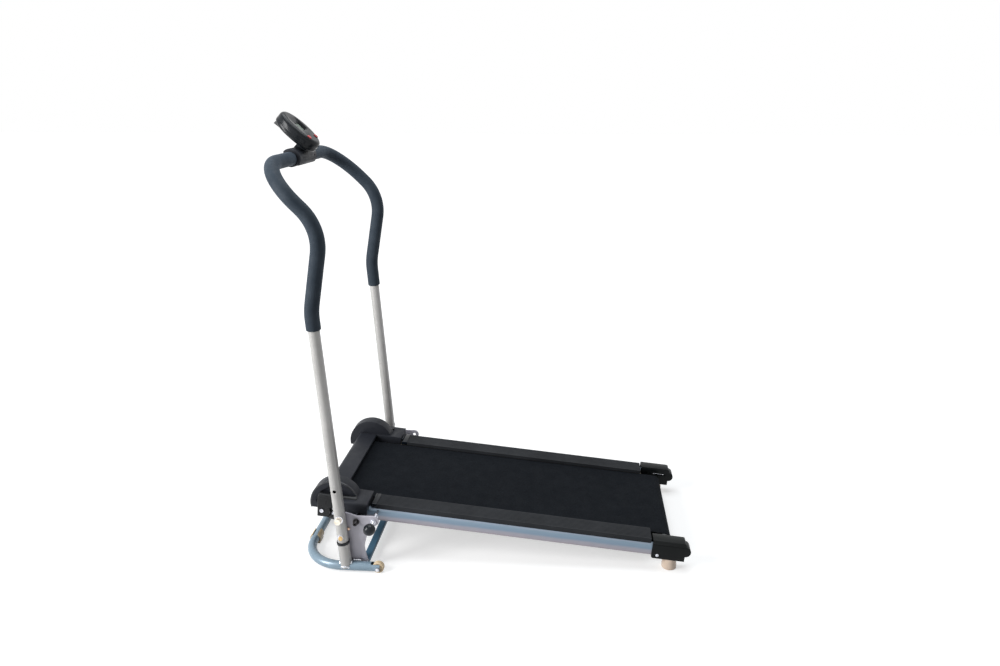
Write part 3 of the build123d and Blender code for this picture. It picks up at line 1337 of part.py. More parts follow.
def make_flywheel_housing(name, side):
    middle = side * (DOME_IN + DOME_OUT) / 2
    cavity_in = DOME_IN + DOME_WALL
    cavity_out = DOME_OUT - DOME_RECESS - DOME_SKIN
    lug = in_deck(BRACKET_SCREW)
    with BuildPart() as dome:
        with BuildSketch(deck_side(middle)):
            with Locations(DOME):
                Circle(DOME_R)
            with Locations((DOME[0], DOME_CUT)):
                Rectangle(3 * DOME_R, 3 * DOME_R, align=(Align.CENTER, Align.MIN),
                          mode=Mode.INTERSECT)
        extrude(amount=(DOME_OUT - DOME_IN) / 2, both=True)
        with BuildSketch(deck_side(side * (cavity_in + cavity_out) / 2)):
            with Locations(DOME):
                Circle(DOME_R - DOME_WALL)
        extrude(amount=(cavity_out - cavity_in) / 2, both=True, mode=Mode.SUBTRACT)
        # the rear foot stops short of the rail and the board
        with BuildSketch(deck_side(middle)):
            with Locations((RAIL_FRONT - 1, BOARD_TOP + 2)):
                Rectangle(DOME_R, DOME_R, align=(Align.MIN, Align.MAX))
        extrude(amount=DOME_OUT - DOME_IN, both=True, mode=Mode.SUBTRACT)
        # recessed face inside a flat rim
        with BuildSketch(deck_side(side * DOME_OUT)):
            with Locations(DOME):
                Circle(DOME_R - DOME_RIM)
            with Locations((DOME[0], DOME[1])):
                Rectangle(2 * DOME_R, DOME_R, align=(Align.CENTER, Align.MIN), mode=Mode.INTERSECT)
        extrude(amount=DOME_RECESS, both=True, mode=Mode.SUBTRACT)
        # lug for the bracket screw
        with BuildSketch(deck_side(side * (cavity_out + DOME_OUT) / 2)):
            with Locations(lug):
                Circle(LUG_R)
            with Locations((lug[0], lug[1] + LUG_R)):
                Rectangle(2 * LUG_R, 2 * LUG_R)
        extrude(amount=(DOME_OUT - cavity_out) / 2, both=True)
        with BuildSketch(deck_side(middle)):
            with Locations(lug):
                Circle(BRACKET_SCREW_R + GAP)
            # slot for the axle, open below
            with Locations((FRONT_ROLLER_X, ROLLER_DZ)):
                Circle(FRONT_AXLE_R + DOME_WALL)
                Rectangle(2 * (FRONT_AXLE_R + DOME_WALL), FRONT_AXLE_R + DOME_WALL,
                          align=(Align.CENTER, Align.MAX))
        extrude(amount=DOME_OUT - DOME_IN, both=True, mode=Mode.SUBTRACT)
    dome.part.label = f"{name}_flywheel_housing"
    export_step(dome.part, f"parts/{name}_flywheel_housing.step")


def make_axle_bracket(name, side):
    front, apron_foot = in_deck(BRACKET_NOSE)
    apron_rear = front + APRON_L
    foot = apron_foot - BRACKET_DROP
    shoulder = COVER_REAR - 3
    throat = COVER_TOP - 2 * COVER_WALL
    weld = RAIL_FRONT - GAP
    with BuildPart() as bracket:
        # skirt: a box with a well rounded top, open below and behind
        with BuildSketch(deck_side(side * (BRACKET_OUT + SKIRT_OUT) / 2)):
            with Locations((front, apron_foot)):
                Rectangle(SKIRT_TAIL - front, BRACKET_CROWN - apron_foot, align=(Align.MIN, Align.MIN))
        extrude(amount=(SKIRT_OUT - BRACKET_OUT) / 2, both=True)
        outer = bracket.faces().sort_by(Axis.Y)[-1 if side > 0 else 0].edges()
        fillet(outer.sort_by(DECK_UP)[-1], radius=SKIRT_ROUND)
        nose = bracket.edges().filter_by(DECK_UP).sort_by(DECK_ALONG)[0:2]
        fillet(nose.sort_by(Axis.Y)[-1 if side > 0 else 0], radius=SKIRT_WALL)
        with BuildSketch(deck_side(side * BRACKET_OUT)):
            with BuildLine():
                Polyline(
                    (front + SKIRT_WALL, apron_foot - 1), (front + SKIRT_WALL, BRACKET_CROWN - SKIRT_ROUND),
                    (shoulder - SKIRT_WALL, BRACKET_CROWN - SKIRT_ROUND),
                    (shoulder - SKIRT_WALL, SKIRT_MIDDLE - 1), (apron_rear - SKIRT_WALL, SKIRT_MIDDLE - 1),
                    (apron_rear - SKIRT_WALL, apron_foot - 1), close=True,
                )
            make_face()
        extrude(amount=SKIRT_W - SKIRT_WALL, both=True, mode=Mode.SUBTRACT)
        with BuildSketch(deck_side(side * (BRACKET_OUT + SKIRT_OUT) / 2)):
            with BuildLine():
                Polyline(
                    (apron_rear, apron_foot - 1), (apron_rear, SKIRT_MIDDLE), (shoulder, SKIRT_MIDDLE),
                    (shoulder, COVER_TOP + CLEAR), (SKIRT_TAIL + 1, COVER_TOP + CLEAR),
                    (SKIRT_TAIL + 1, apron_foot - 1), close=True,
                )
            make_face()
        extrude(amount=SKIRT_W, both=True, mode=Mode.SUBTRACT)
        # plate that carries the axle, with a tongue inside the rail
        with BuildSketch(deck_side(side * (BRACKET_IN + BRACKET_OUT) / 2)):
            with BuildLine():
                FilletPolyline(
                    (front, foot), (front, BRACKET_CROWN), (shoulder, BRACKET_CROWN), (shoulder, throat),
                    (weld, throat), (weld, TONGUE_H / 2), (TONGUE_END, TONGUE_H / 2),
                    (TONGUE_END, -TONGUE_H / 2), (weld, -TONGUE_H / 2), (weld, foot),
                    radius=SKIRT_WALL, close=True,
                )
            make_face()
        extrude(amount=(BRACKET_OUT - BRACKET_IN) / 2, both=True)
        with BuildSketch(deck_side(side * (BRACKET_IN + SKIRT_OUT) / 2)):
            with Locations((FRONT_ROLLER_X, ROLLER_DZ)):
                Circle(FRONT_AXLE_R + RUN)
            with Locations(in_deck(BRACKET_SCREW)):
                Circle(BRACKET_SCREW_R + GAP)
            with Locations(in_deck(BRACKET_BOLT)):
                Circle(BRACKET_BOLT_R + GAP)
        extrude(amount=SKIRT_OUT - BRACKET_IN, both=True, mode=Mode.SUBTRACT)
    bracket.part.label = f"{name}_axle_bracket"
    export_step(bracket.part, f"parts/{name}_axle_bracket.step")


def make_bracket_screws():
    seat = SKIRT_OUT + GAP
    tip = DOME_OUT - DOME_RECESS - DOME_WALL
    head = BRACKET_SCREW_R
    nut = BRACKET_HEAD_R
    with BuildPart() as screws:
        for side in SIDES.values():
            with BuildSketch(deck_side(side * (seat + tip) / 2)):
                with Locations(in_deck(BRACKET_SCREW)):
                    Circle(BRACKET_SCREW_R)
            extrude(amount=(seat - tip) / 2, both=True)
            with BuildSketch(deck_side(side * (seat + head / 2))):
                with Locations(in_deck(BRACKET_SCREW)):
                    Circle(BRACKET_HEAD_R)
            extrude(amount=head / 2, both=True)
            for level, length, across in (
                (BRACKET_OUT + GAP, BRACKET_BOLT_R, BRACKET_BOLT_AF),
                (BRACKET_IN - GAP - nut, nut, BRACKET_BOLT_AF),
            ):
                with BuildSketch(deck_side(side * (level + length / 2))):
                    with Locations(in_deck(BRACKET_BOLT)):
                        RegularPolygon(across / 2, 6, major_radius=False)
                extrude(amount=length / 2, both=True)
            with BuildSketch(deck_side(side * (BRACKET_IN + BRACKET_OUT) / 2)):
                with Locations(in_deck(BRACKET_BOLT)):
                    Circle(BRACKET_BOLT_R)
            extrude(amount=(BRACKET_OUT - BRACKET_IN) / 2 + nut / 2, both=True)
    screws.part.label = "bracket_screws"
    export_step(screws.part, "parts/bracket_screws.step")


# ---------------------------------------------------------------- the whole machine
make_base_tube()
make_base_cross_member()
make_front_pads()
make_wheel_bolts()
make_socket_rings()
make_spigots()
make_upright_bolts()
make_upright_lower_bolts()
make_handlebar_tube()
make_clamp_half("clamp_upper", 1)
make_clamp_half("clamp_lower", -1)
make_clamp_screws()
make_console_back()
make_circuit_board()
make_console_front()
make_display_window()
make_pivot_pins()
make_pivot_rings()
make_lock()
make_front_stop_bracket()
make_deck_board()
make_deck_cross_tubes()
make_foot_rail_ends()
make_running_belt()
make_front_roller()
make_flywheels()
make_rear_roller()
make_roller_adjusters()
make_cap_screws()
make_rear_feet()
make_front_cover()
make_bracket_screws()
for name, side in SIDES.items():
    make_wheel(name, side)
    make_socket(name, side)
    make_upright(name, side)
    make_grip_foam(name, side)
    make_button(name, side)
    make_side_plate(name, side)
    make_side_rail(name, side)
    make_foot_rail(name, side)
    make_rear_cap(name, side)
    make_corner_cover(name, side)
    make_flywheel_housing(name, side)
    make_axle_bracket(name, side)
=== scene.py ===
import json
from math import atan2, cos, radians, sin

import bpy
from mathutils import Matrix, Vector

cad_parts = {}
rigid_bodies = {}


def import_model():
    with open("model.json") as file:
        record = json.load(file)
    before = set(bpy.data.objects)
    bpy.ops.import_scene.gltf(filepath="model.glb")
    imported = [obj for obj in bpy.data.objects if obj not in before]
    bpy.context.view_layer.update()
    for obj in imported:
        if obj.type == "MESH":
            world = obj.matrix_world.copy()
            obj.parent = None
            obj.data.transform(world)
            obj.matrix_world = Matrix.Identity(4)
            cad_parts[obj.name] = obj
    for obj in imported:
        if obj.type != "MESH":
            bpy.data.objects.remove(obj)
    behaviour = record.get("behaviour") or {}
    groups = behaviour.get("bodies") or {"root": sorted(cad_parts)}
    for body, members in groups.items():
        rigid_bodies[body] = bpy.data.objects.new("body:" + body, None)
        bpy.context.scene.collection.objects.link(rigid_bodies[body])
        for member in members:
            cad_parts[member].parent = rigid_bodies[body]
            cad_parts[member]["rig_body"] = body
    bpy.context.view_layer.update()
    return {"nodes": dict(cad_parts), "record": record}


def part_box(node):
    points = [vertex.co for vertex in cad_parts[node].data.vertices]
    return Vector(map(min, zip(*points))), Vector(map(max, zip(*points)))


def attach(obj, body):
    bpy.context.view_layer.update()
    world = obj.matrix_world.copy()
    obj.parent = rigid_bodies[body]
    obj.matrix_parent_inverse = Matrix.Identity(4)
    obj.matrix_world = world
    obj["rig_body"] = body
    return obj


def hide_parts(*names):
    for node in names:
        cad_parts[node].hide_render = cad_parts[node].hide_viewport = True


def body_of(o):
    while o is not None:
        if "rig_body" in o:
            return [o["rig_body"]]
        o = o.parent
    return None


# Looks for a folding manual treadmill: +X is its rear, +Y the walker's right, metres.
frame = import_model()
nodes = frame["nodes"]
slots = {part["node"]: part["material_slot"] for part in frame["record"]["subparts"]}
bpy.ops.object.select_all(action="DESELECT")

DECK_PITCH = radians(5.72)  # the deck falls this much towards its rear
DECK_UP = Vector((sin(DECK_PITCH), 0, cos(DECK_PITCH)))
SIDES = {"left": -1, "right": 1}  # and the way each side faces along Y
# The kinds of ray to which the room and the floor look white.
SEEN_BY = ("Is Camera Ray", "Is Glossy Ray", "Is Transmission Ray")


def both_sides(table):
    """Spells out each name that holds a star, once for the left and once for the right."""
    return {name.replace("*", side): value
            for name, value in table.items()
            for side in (SIDES if "*" in name else ("",))}


def outer_face(node, sign):
    """Y of a node's outermost face on the side that sign names."""
    low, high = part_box(node)
    return high[1] if sign > 0 else low[1]


def middle_of(node):
    low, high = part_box(node)
    return (Vector(low) + Vector(high)) / 2


# ---------------------------------------------------------------- material nodes
def new_material(name):
    material = bpy.data.materials.new(name)
    material.use_nodes = True
    shader = material.node_tree.nodes["Principled BSDF"]
    return material, material.node_tree, shader


def object_noise(tree, scale, detail=3.0, stretch=(1, 1, 1)):
    """Noise on Object coordinates; stretch squeezes it along an axis."""
    place = tree.nodes.new("ShaderNodeTexCoord")
    mapping = tree.nodes.new("ShaderNodeMapping")
    noise = tree.nodes.new("ShaderNodeTexNoise")
    mapping.inputs["Scale"].default_value = stretch
    noise.inputs["Scale"].default_value = scale
    noise.inputs["Detail"].default_value = detail
    tree.links.new(place.outputs["Object"], mapping.inputs["Vector"])
    tree.links.new(mapping.outputs["Vector"], noise.inputs["Vector"])
    return noise


def colour_ramp(tree, factor, stops):
    """Ramp through (position, colour) stops, driven by the factor output."""
    ramp = tree.nodes.new("ShaderNodeValToRGB")
    stones = ramp.color_ramp.elements
    while len(stones) < len(stops):
        stones.new(0.5)
    for stone, (position, colour) in zip(stones, stops):
        stone.position = position
        stone.color = (*colour, 1)
    tree.links.new(factor, ramp.inputs["Fac"])
    return ramp


def tint(tree, shader, noise, dark, light, low=0.35, high=0.65):
    """Base colour that wanders between two close tones."""
    ramp = colour_ramp(tree, noise.outputs["Fac"], ((low, dark), (high, light)))
    tree.links.new(ramp.outputs["Color"], shader.inputs["Base Color"])


def roughen(tree, shader, noise, low, high):
    """Roughness that wanders between two values."""
    spread = tree.nodes.new("ShaderNodeMapRange")
    spread.inputs["From Min"].default_value = 0.3
    spread.inputs["From Max"].default_value = 0.7
    spread.inputs["To Min"].default_value = low
    spread.inputs["To Max"].default_value = high
    tree.links.new(noise.outputs["Fac"], spread.inputs["Value"])
    tree.links.new(spread.outputs["Result"], shader.inputs["Roughness"])


def grain(tree, shader, height, strength, distance):
    """Bump from any height output."""
    bump = tree.nodes.new("ShaderNodeBump")
    bump.inputs["Strength"].default_value = strength
    bump.inputs["Distance"].default_value = distance
    tree.links.new(height, bump.inputs["Height"])
    tree.links.new(bump.outputs["Normal"], shader.inputs["Normal"])


def pebbles(tree, scale):
    """Height output of small round cells, as in moulded plastic or foam."""
    place = tree.nodes.new("ShaderNodeTexCoord")
    cells = tree.nodes.new("ShaderNodeTexVoronoi")
    cells.inputs["Scale"].default_value = scale
    tree.links.new(place.outputs["Object"], cells.inputs["Vector"])
    return cells.outputs["Distance"]


# ---------------------------------------------------------------- finishes
def enamel(name, dark, light, metallic, rough, coat):
    """Baked enamel on steel: faint orange peel and soft wear in the gloss."""
    material, tree, shader = new_material(name)
    shader.inputs["Metallic"].default_value = metallic
    shader.inputs["Coat Weight"].default_value = coat
    shader.inputs["Coat Roughness"].default_value = 0.22
    tint(tree, shader, object_noise(tree, 14.0), dark, light)
    roughen(tree, shader, object_noise(tree, 24.0, 4.0), rough - 0.03, rough + 0.05)
    grain(tree, shader, object_noise(tree, 260.0, 1.0).outputs["Fac"], 0.02, 0.0003)
    return material


def rail_enamel_painted_light():
    """Side rails: enamel whose colour by height across the rail is painted light: a painted shade
    at the foot, mauve low down, a painted blue reflection higher up and a painted highlight at the
    crown.
    """
    material, tree, shader = new_material("rail_enamel_painted_light")
    shader.inputs["Metallic"].default_value = 0.45
    shader.inputs["Coat Weight"].default_value = 0.2
    shader.inputs["Coat Roughness"].default_value = 0.25
    low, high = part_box("left_side_rail")
    foot = Vector((high[0], 0, low[2])).dot(DECK_UP)  # the rail's height, square to the deck
    crown = Vector((low[0], 0, high[2])).dot(DECK_UP)
    place = tree.nodes.new("ShaderNodeTexCoord")
    rise = tree.nodes.new("ShaderNodeVectorMath")
    rise.operation = "DOT_PRODUCT"
    rise.inputs[1].default_value = DECK_UP
    level = tree.nodes.new("ShaderNodeMapRange")
    level.inputs["From Min"].default_value = foot
    level.inputs["From Max"].default_value = crown
    cloud = object_noise(tree, 30.0, 4.0, (0.4, 1, 2))
    waver = tree.nodes.new("ShaderNodeMath")
    waver.operation = "MULTIPLY_ADD"
    waver.inputs[1].default_value = 0.16
    tree.links.new(place.outputs["Object"], rise.inputs[0])
    tree.links.new(rise.outputs["Value"], level.inputs["Value"])
    tree.links.new(cloud.outputs["Fac"], waver.inputs[0])
    tree.links.new(level.outputs["Result"], waver.inputs[2])
    # Painted light by height: dark painted shade at the foot, mauve, then painted blue reflection,
    # lightest as a painted highlight at the crown.
    painted_light_ramp = colour_ramp(tree, waver.outputs["Value"], (
        (0.08, (0.085, 0.070, 0.080)),
        (0.18, (0.330, 0.300, 0.335)),
        (0.50, (0.300, 0.300, 0.350)),
        (0.68, (0.190, 0.265, 0.350)),
        (0.94, (0.205, 0.285, 0.365)),
        (1.00, (0.260, 0.320, 0.400)),
    ))
    tree.links.new(painted_light_ramp.outputs["Color"], shader.inputs["Base Color"])
    roughen(tree, shader, object_noise(tree, 60.0, 5.0), 0.34, 0.46)
    grain(tree, shader, object_noise(tree, 420.0, 2.0).outputs["Fac"], 0.06, 0.0004)
    return material


def moulding(name, dark, light, rough, pebble, strength, specular=0.42):
    """Moulded plastic: a fine spark-eroded grain of the given pebble scale."""
    material, tree, shader = new_material(name)
    shader.inputs["Specular IOR Level"].default_value = specular
    tint(tree, shader, object_noise(tree, 9.0, 4.0), dark, light)
    roughen(tree, shader, object_noise(tree, 45.0, 4.0), rough - 0.06, rough + 0.08)
    grain(tree, shader, pebbles(tree, pebble), strength, 0.0003)
    return material


def plated(name, dark, light, rough):
    """Plated fastener: bright metal with uneven passivation."""
    material, tree, shader = new_material(name)
    shader.inputs["Metallic"].default_value = 1.0
    tint(tree, shader, object_noise(tree, 220.0, 3.0), dark, light)
    roughen(tree, shader, object_noise(tree, 340.0, 3.0), rough - 0.06, rough + 0.1)
    grain(tree, shader, object_noise(tree, 900.0, 2.0).outputs["Fac"], 0.05, 0.0002)
    return material


def grip_foam():
    """Closed-cell foam: skin of tiny cells, soft sheen, slightly uneven dye."""
    material, tree, shader = new_material("grip_foam")
    shader.inputs["Specular IOR Level"].default_value = 0.12
    shader.inputs["Sheen Weight"].default_value = 0.06
    shader.inputs["Sheen Roughness"].default_value = 0.4
    shader.inputs["Sheen Tint"].default_value = (0.55, 0.75, 1.0, 1)
    dye = object_noise(tree, 22.0, 5.0)
    tint(tree, shader, dye, (0.025, 0.035, 0.048), (0.038, 0.050, 0.065))
    roughen(tree, shader, object_noise(tree, 130.0, 4.0), 0.52, 0.70)
    grain(tree, shader, pebbles(tree, 900.0), 0.24, 0.0004)
    return material


def belt_weave():
    """Running belt: matt black top ply with a fine diamond emboss."""
    material, tree, shader = new_material("belt_weave")
    shader.inputs["Specular IOR Level"].default_value = 0.06
    dust = object_noise(tree, 260.0, 8.0)
    tint(tree, shader, dust, (0.0040, 0.0050, 0.0065), (0.0110, 0.0130, 0.0165), 0.3, 0.7)
    roughen(tree, shader, object_noise(tree, 30.0, 4.0), 0.78, 0.92)
    place = tree.nodes.new("ShaderNodeTexCoord")
    heights = []
    for turn in (radians(45), radians(-45)):
        mapping = tree.nodes.new("ShaderNodeMapping")
        mapping.inputs["Rotation"].default_value = (0, 0, turn)
        wave = tree.nodes.new("ShaderNodeTexWave")
        wave.inputs["Scale"].default_value = 130.0
        tree.links.new(place.outputs["Object"], mapping.inputs["Vector"])
        tree.links.new(mapping.outputs["Vector"], wave.inputs["Vector"])
        heights.append(wave.outputs["Fac"])
    both = tree.nodes.new("ShaderNodeMath")
    both.operation = "MULTIPLY"
    tree.links.new(heights[0], both.inputs[0])
    tree.links.new(heights[1], both.inputs[1])
    grain(tree, shader, both.outputs["Value"], 0.18, 0.0005)
    return material


def display_glass():
    """Liquid-crystal pane: grey-green behind a clear cover."""
    material, tree, shader = new_material("display_glass")
    shader.inputs["Coat Weight"].default_value = 1.0
    shader.inputs["Coat Roughness"].default_value = 0.05
    tint(tree, shader, object_noise(tree, 60.0), (0.26, 0.31, 0.27), (0.34, 0.39, 0.34))
    roughen(tree, shader, object_noise(tree, 90.0), 0.22, 0.34)
    return material


def turned_steel():
    """Turned rollers and axle: fine rings across the machine."""
    material, tree, shader = new_material("turned_steel")
    shader.inputs["Metallic"].default_value = 1.0
    tint(tree, shader, object_noise(tree, 70.0), (0.34, 0.35, 0.37), (0.46, 0.47, 0.49))
    roughen(tree, shader, object_noise(tree, 60.0, 3.0, (1, 20, 1)), 0.28, 0.46)
    rings = object_noise(tree, 90.0, 2.0, (0.2, 22.0, 0.2))
    grain(tree, shader, rings.outputs["Fac"], 0.12, 0.0003)
    return material


def board_fibre():
    """Deck board: sealed brown fibreboard with a waxed skin."""
    material, tree, shader = new_material("board_fibre")
    fibres = object_noise(tree, 40.0, 6.0, (1, 6, 6))
    tint(tree, shader, fibres, (0.050, 0.036, 0.024), (0.085, 0.062, 0.042))
    roughen(tree, shader, object_noise(tree, 80.0), 0.42, 0.60)
    grain(tree, shader, object_noise(tree, 300.0, 4.0).outputs["Fac"], 0.2, 0.0005)
    return material


FINISH = {
    "tube_silver": enamel(
        "silver_enamel", (0.41, 0.403, 0.392), (0.48, 0.472, 0.460),
        metallic=0.12, rough=0.30, coat=0.0),
    "base_blue": enamel(
        "base_enamel", (0.190, 0.270, 0.340), (0.240, 0.325, 0.395),
        metallic=0.12, rough=0.28, coat=0.0),
    # The cross member's enamel is a darker, bluer copy of the base tube's: painted shade and
    # painted blue reflection.
    "cross_blue": enamel(
        "cross_enamel_painted_shade", (0.072, 0.165, 0.255), (0.096, 0.200, 0.300),
        metallic=0.05, rough=0.42, coat=0.0),
    # The side rails' colour by height is painted reflection and painted shade.
    "rail": rail_enamel_painted_light(),
    "plate_grey": enamel(
        "plate_enamel", (0.42, 0.41, 0.465), (0.50, 0.485, 0.54),
        metallic=0.05, rough=0.48, coat=0.0),
    "foam_blue": grip_foam(),
    "plastic_charcoal": moulding(
        "charcoal_moulding", (0.0150, 0.0165, 0.0215), (0.0230, 0.0250, 0.0310),
        rough=0.44, pebble=900.0, strength=0.22, specular=0.14),
    "foot_rail_grey": moulding(
        "foot_rail_moulding", (0.0195, 0.0212, 0.0240), (0.0290, 0.0312, 0.0350),
        rough=0.55, pebble=900.0, strength=0.22, specular=0.12),
    "console_black": moulding(
        "console_moulding", (0.0100, 0.0120, 0.0145), (0.0150, 0.0175, 0.0205),
        rough=0.20, pebble=1200.0, strength=0.010, specular=0.15),
    "cap_black": moulding(
        "cap_moulding", (0.0050, 0.0060, 0.0065), (0.0085, 0.0100, 0.0105),
        rough=0.34, pebble=1100.0, strength=0.10, specular=0.12),
    "bracket_black": moulding(
        "bracket_moulding", (0.0105, 0.0110, 0.0125), (0.0165, 0.0175, 0.0190),
        rough=0.28, pebble=1100.0, strength=0.08, specular=0.20),
    "plastic_gloss": moulding(
        "gloss_moulding", (0.0030, 0.0050, 0.0085), (0.0050, 0.0080, 0.0125),
        rough=0.18, pebble=500.0, strength=0.01, specular=0.26),
    "rim_gloss": moulding(
        "rim_moulding", (0.0060, 0.0080, 0.0110), (0.0090, 0.0120, 0.0160),
        rough=0.16, pebble=500.0, strength=0.01, specular=0.65),
    "button_red": moulding(
        "red_moulding", (0.40, 0.010, 0.016), (0.52, 0.018, 0.024),
        rough=0.26, pebble=900.0, strength=0.05),
    "display": display_glass(),
    "board_green": moulding(
        "circuit_lacquer", (0.010, 0.090, 0.040), (0.016, 0.130, 0.055),
        rough=0.35, pebble=700.0, strength=0.10),
    "pad_cream": moulding(
        "cream_moulding", (0.76, 0.60, 0.48), (0.90, 0.76, 0.64),
        rough=0.32, pebble=700.0, strength=0.08),
    "pad_tan": moulding(
        "tan_moulding", (0.44, 0.32, 0.18), (0.66, 0.52, 0.34),
        rough=0.24, pebble=700.0, strength=0.05),
    "bolt_cream": plated(
        "cream_plate", (0.66, 0.60, 0.50), (0.88, 0.82, 0.72),
        rough=0.26),
    "brass_bolt": plated(
        "yellow_plate", (0.50, 0.32, 0.13), (0.74, 0.54, 0.28),
        rough=0.28),
    "rivet_copper": plated(
        "rivet_plate", (0.62, 0.40, 0.26), (0.84, 0.60, 0.44),
        rough=0.34),
    "zinc": plated(
        "zinc_plate", (0.46, 0.47, 0.52), (0.78, 0.79, 0.84),
        rough=0.22),
    "pin_black": plated(
        "oiled_steel", (0.030, 0.030, 0.034), (0.065, 0.060, 0.060),
        rough=0.30),
    "weld": plated(
        "weld_bead", (0.44, 0.46, 0.50), (0.66, 0.68, 0.72),
        rough=0.24),
    "steel": turned_steel(),
    "flywheel_iron": enamel(
        "flywheel_enamel", (0.012, 0.012, 0.014), (0.022, 0.022, 0.025),
        metallic=0.2, rough=0.45, coat=0.1),
    "belt": belt_weave(),
    "deck_panel": board_fibre(),
}
OWN_FINISH = both_sides({
    "base_tube": "base_blue",
    # The cross member takes the shaded copy of the base enamel: painted shade and painted blue
    # reflection.
    "base_cross_member": "cross_blue",
    # The side rails take the enamel with painted reflection and shade by height.
    "*_side_rail": "rail",
    "*_axle_bracket": "bracket_black",
    "*_foot_rail": "foot_rail_grey",
    "*_rear_cap": "cap_black",
    "console_back": "console_black",
    "console_front": "console_black",
    "socket_rings": "plastic_gloss",
    "front_pads": "pad_tan",
    "*_wheel": "pad_tan",
    "pivot_pins": "pin_black",
    "pivot_rings": "pin_black",
})


def finish_of(name):
    """A node's own finish, or else the one that its material slot names."""
    return OWN_FINISH.get(name, slots[name])


def dress_cad_nodes():
    """Every solid gets its finish, also those that a finished copy stands in for."""
    for name, node in nodes.items():
        node.data.materials.clear()
        node.data.materials.append(FINISH[finish_of(name)])


# ---------------------------------------------------------------- workshop helpers
LYING_ALONG_Y = (radians(90), 0, 0)
FLAT_TURN = radians(0.6)  # faces that turn by less than this are one flat face
LOOSE_SEAM = 0.00002  # loose triangles whose corners are this close are joined


def only(piece):
    """Out of edit mode with nothing but this piece selected."""
    if bpy.context.mode != "OBJECT":
        bpy.ops.object.mode_set(mode="OBJECT")
    bpy.ops.object.select_all(action="DESELECT")
    piece.select_set(True)
    bpy.context.view_layer.objects.active = piece


def named_primitive(name):
    """The primitive just added, under its name and with its place applied."""
    piece = bpy.context.object
    piece.name = name
    bpy.ops.object.transform_apply(location=True, rotation=True, scale=True)
    return piece


def pick_faces(piece, wanted):
    """Edit mode with only the wanted faces selected."""
    only(piece)
    bpy.ops.object.mode_set(mode="EDIT")
    bpy.ops.mesh.select_mode(type="FACE")
    bpy.ops.mesh.select_all(action="DESELECT")
    bpy.ops.object.mode_set(mode="OBJECT")
    for face in piece.data.polygons:
        face.select = wanted(face)
    bpy.ops.object.mode_set(mode="EDIT")


def pick_edges(piece, wanted):
    """Edit mode with only the wanted edges selected; wanted gets both ends."""
    only(piece)
    bpy.ops.object.mode_set(mode="EDIT")
    bpy.ops.mesh.select_mode(type="EDGE")
    bpy.ops.mesh.select_all(action="DESELECT")
    bpy.ops.object.mode_set(mode="OBJECT")
    points = piece.data.vertices
    for edge in piece.data.edges:
        edge.select = wanted(points[edge.vertices[0]].co, points[edge.vertices[1]].co)
    bpy.ops.object.mode_set(mode="EDIT")


def round_hard_edges(piece, width, segments, sharp=40):
    """Rolls every edge over that turns by more than the given angle."""
    only(piece)
    bpy.ops.object.mode_set(mode="EDIT")
    bpy.ops.mesh.select_mode(type="EDGE")
    bpy.ops.mesh.select_all(action="SELECT")
    bpy.ops.mesh.dissolve_limited(angle_limit=FLAT_TURN)
    bpy.ops.mesh.select_all(action="DESELECT")
    bpy.ops.mesh.edges_select_sharp(sharpness=radians(sharp))
    bpy.ops.mesh.bevel(
        offset=width, segments=segments, profile=0.5, affect="EDGES", clamp_overlap=True)
    bpy.ops.object.mode_set(mode="OBJECT")


def apply_modifier(piece, kind, **settings):
    """Adds one modifier with its settings and applies it."""
    only(piece)
    modifier = piece.modifiers.new(kind.lower(), kind)
    for key, value in settings.items():
        setattr(modifier, key, value)
    bpy.ops.object.modifier_apply(modifier=modifier.name)


def settle(piece, body, finish, smooth=35):
    """Smooth by angle, apply the place, give the finish and ride on a body."""
    only(piece)
    bpy.ops.object.transform_apply(location=True, rotation=True, scale=True)
    bpy.ops.object.shade_smooth_by_angle(angle=radians(smooth))
    piece.data.materials.clear()
    piece.data.materials.append(FINISH[finish])
    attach(piece, body)


def copy_node(name, new_name):
    """A free copy of a CAD node's mesh, with its loose triangles merged."""
    piece = nodes[name].copy()
    piece.data = nodes[name].data.copy()
    piece.name = new_name
    for key in list(piece.keys()):  # nothing that marks it as the solid itself
        del piece[key]
    piece.parent = None
    piece.matrix_world = Matrix.Identity(4)
    bpy.context.collection.objects.link(piece)
    only(piece)
    if piece.data.has_custom_normals:
        bpy.ops.mesh.customdata_custom_splitnormals_clear()
    bpy.ops.object.mode_set(mode="EDIT")
    bpy.ops.mesh.select_all(action="SELECT")
    bpy.ops.mesh.remove_doubles(threshold=LOOSE_SEAM)
    bpy.ops.object.mode_set(mode="OBJECT")
    return piece


def body_of_node(name):
    return body_of(nodes[name])[0]


# ---------------------------------------------------------------- finished copies of the solids
SOFT_EDGES = both_sides({  # how wide each solid's edges roll over, and in how many steps
    "*_flywheel_housing": (0.0011, 3),
    "*_axle_bracket": (0.0007, 2),
    "*_corner_cover": (0.0010, 2),
    "front_cover": (0.0011, 2),
    "*_rear_cap": (0.0008, 2),
    "*_foot_rail": (0.00035, 1),
    "foot_rail_ends": (0.0012, 3),
    "console_front": (0.0010, 3),
    "console_back": (0.0009, 2),
    "clamp_upper": (0.0009, 2),
    "clamp_lower": (0.0009, 2),
    "*_button": (0.0005, 3),
    "*_side_plate": (0.0005, 2),
    "socket_rings": (0.0008, 2),
    "upright_lower_bolts": (0.0008, 3),
    "wheel_bolts": (0.0005, 2),
    "roller_adjusters": (0.0004, 2),
    "*_wheel": (0.0013, 3),
    "rear_feet": (0.0014, 3),
    "lock_bushing": (0.0006, 2),
    "lock_pin": (0.0008, 2),
    "pivot_pins": (0.0005, 2),
    "pivot_rings": (0.0005, 2),
    "base_cross_member": (0.0007, 2),
    "front_stop_bracket": (0.0005, 2),
})
CROSS_DEPTH = 0.0026
CROSS_ARM = 0.24  # an arm's width as a share of its length
BRACKET_HEAD = 0.0055  # radius of a bracket screw's head


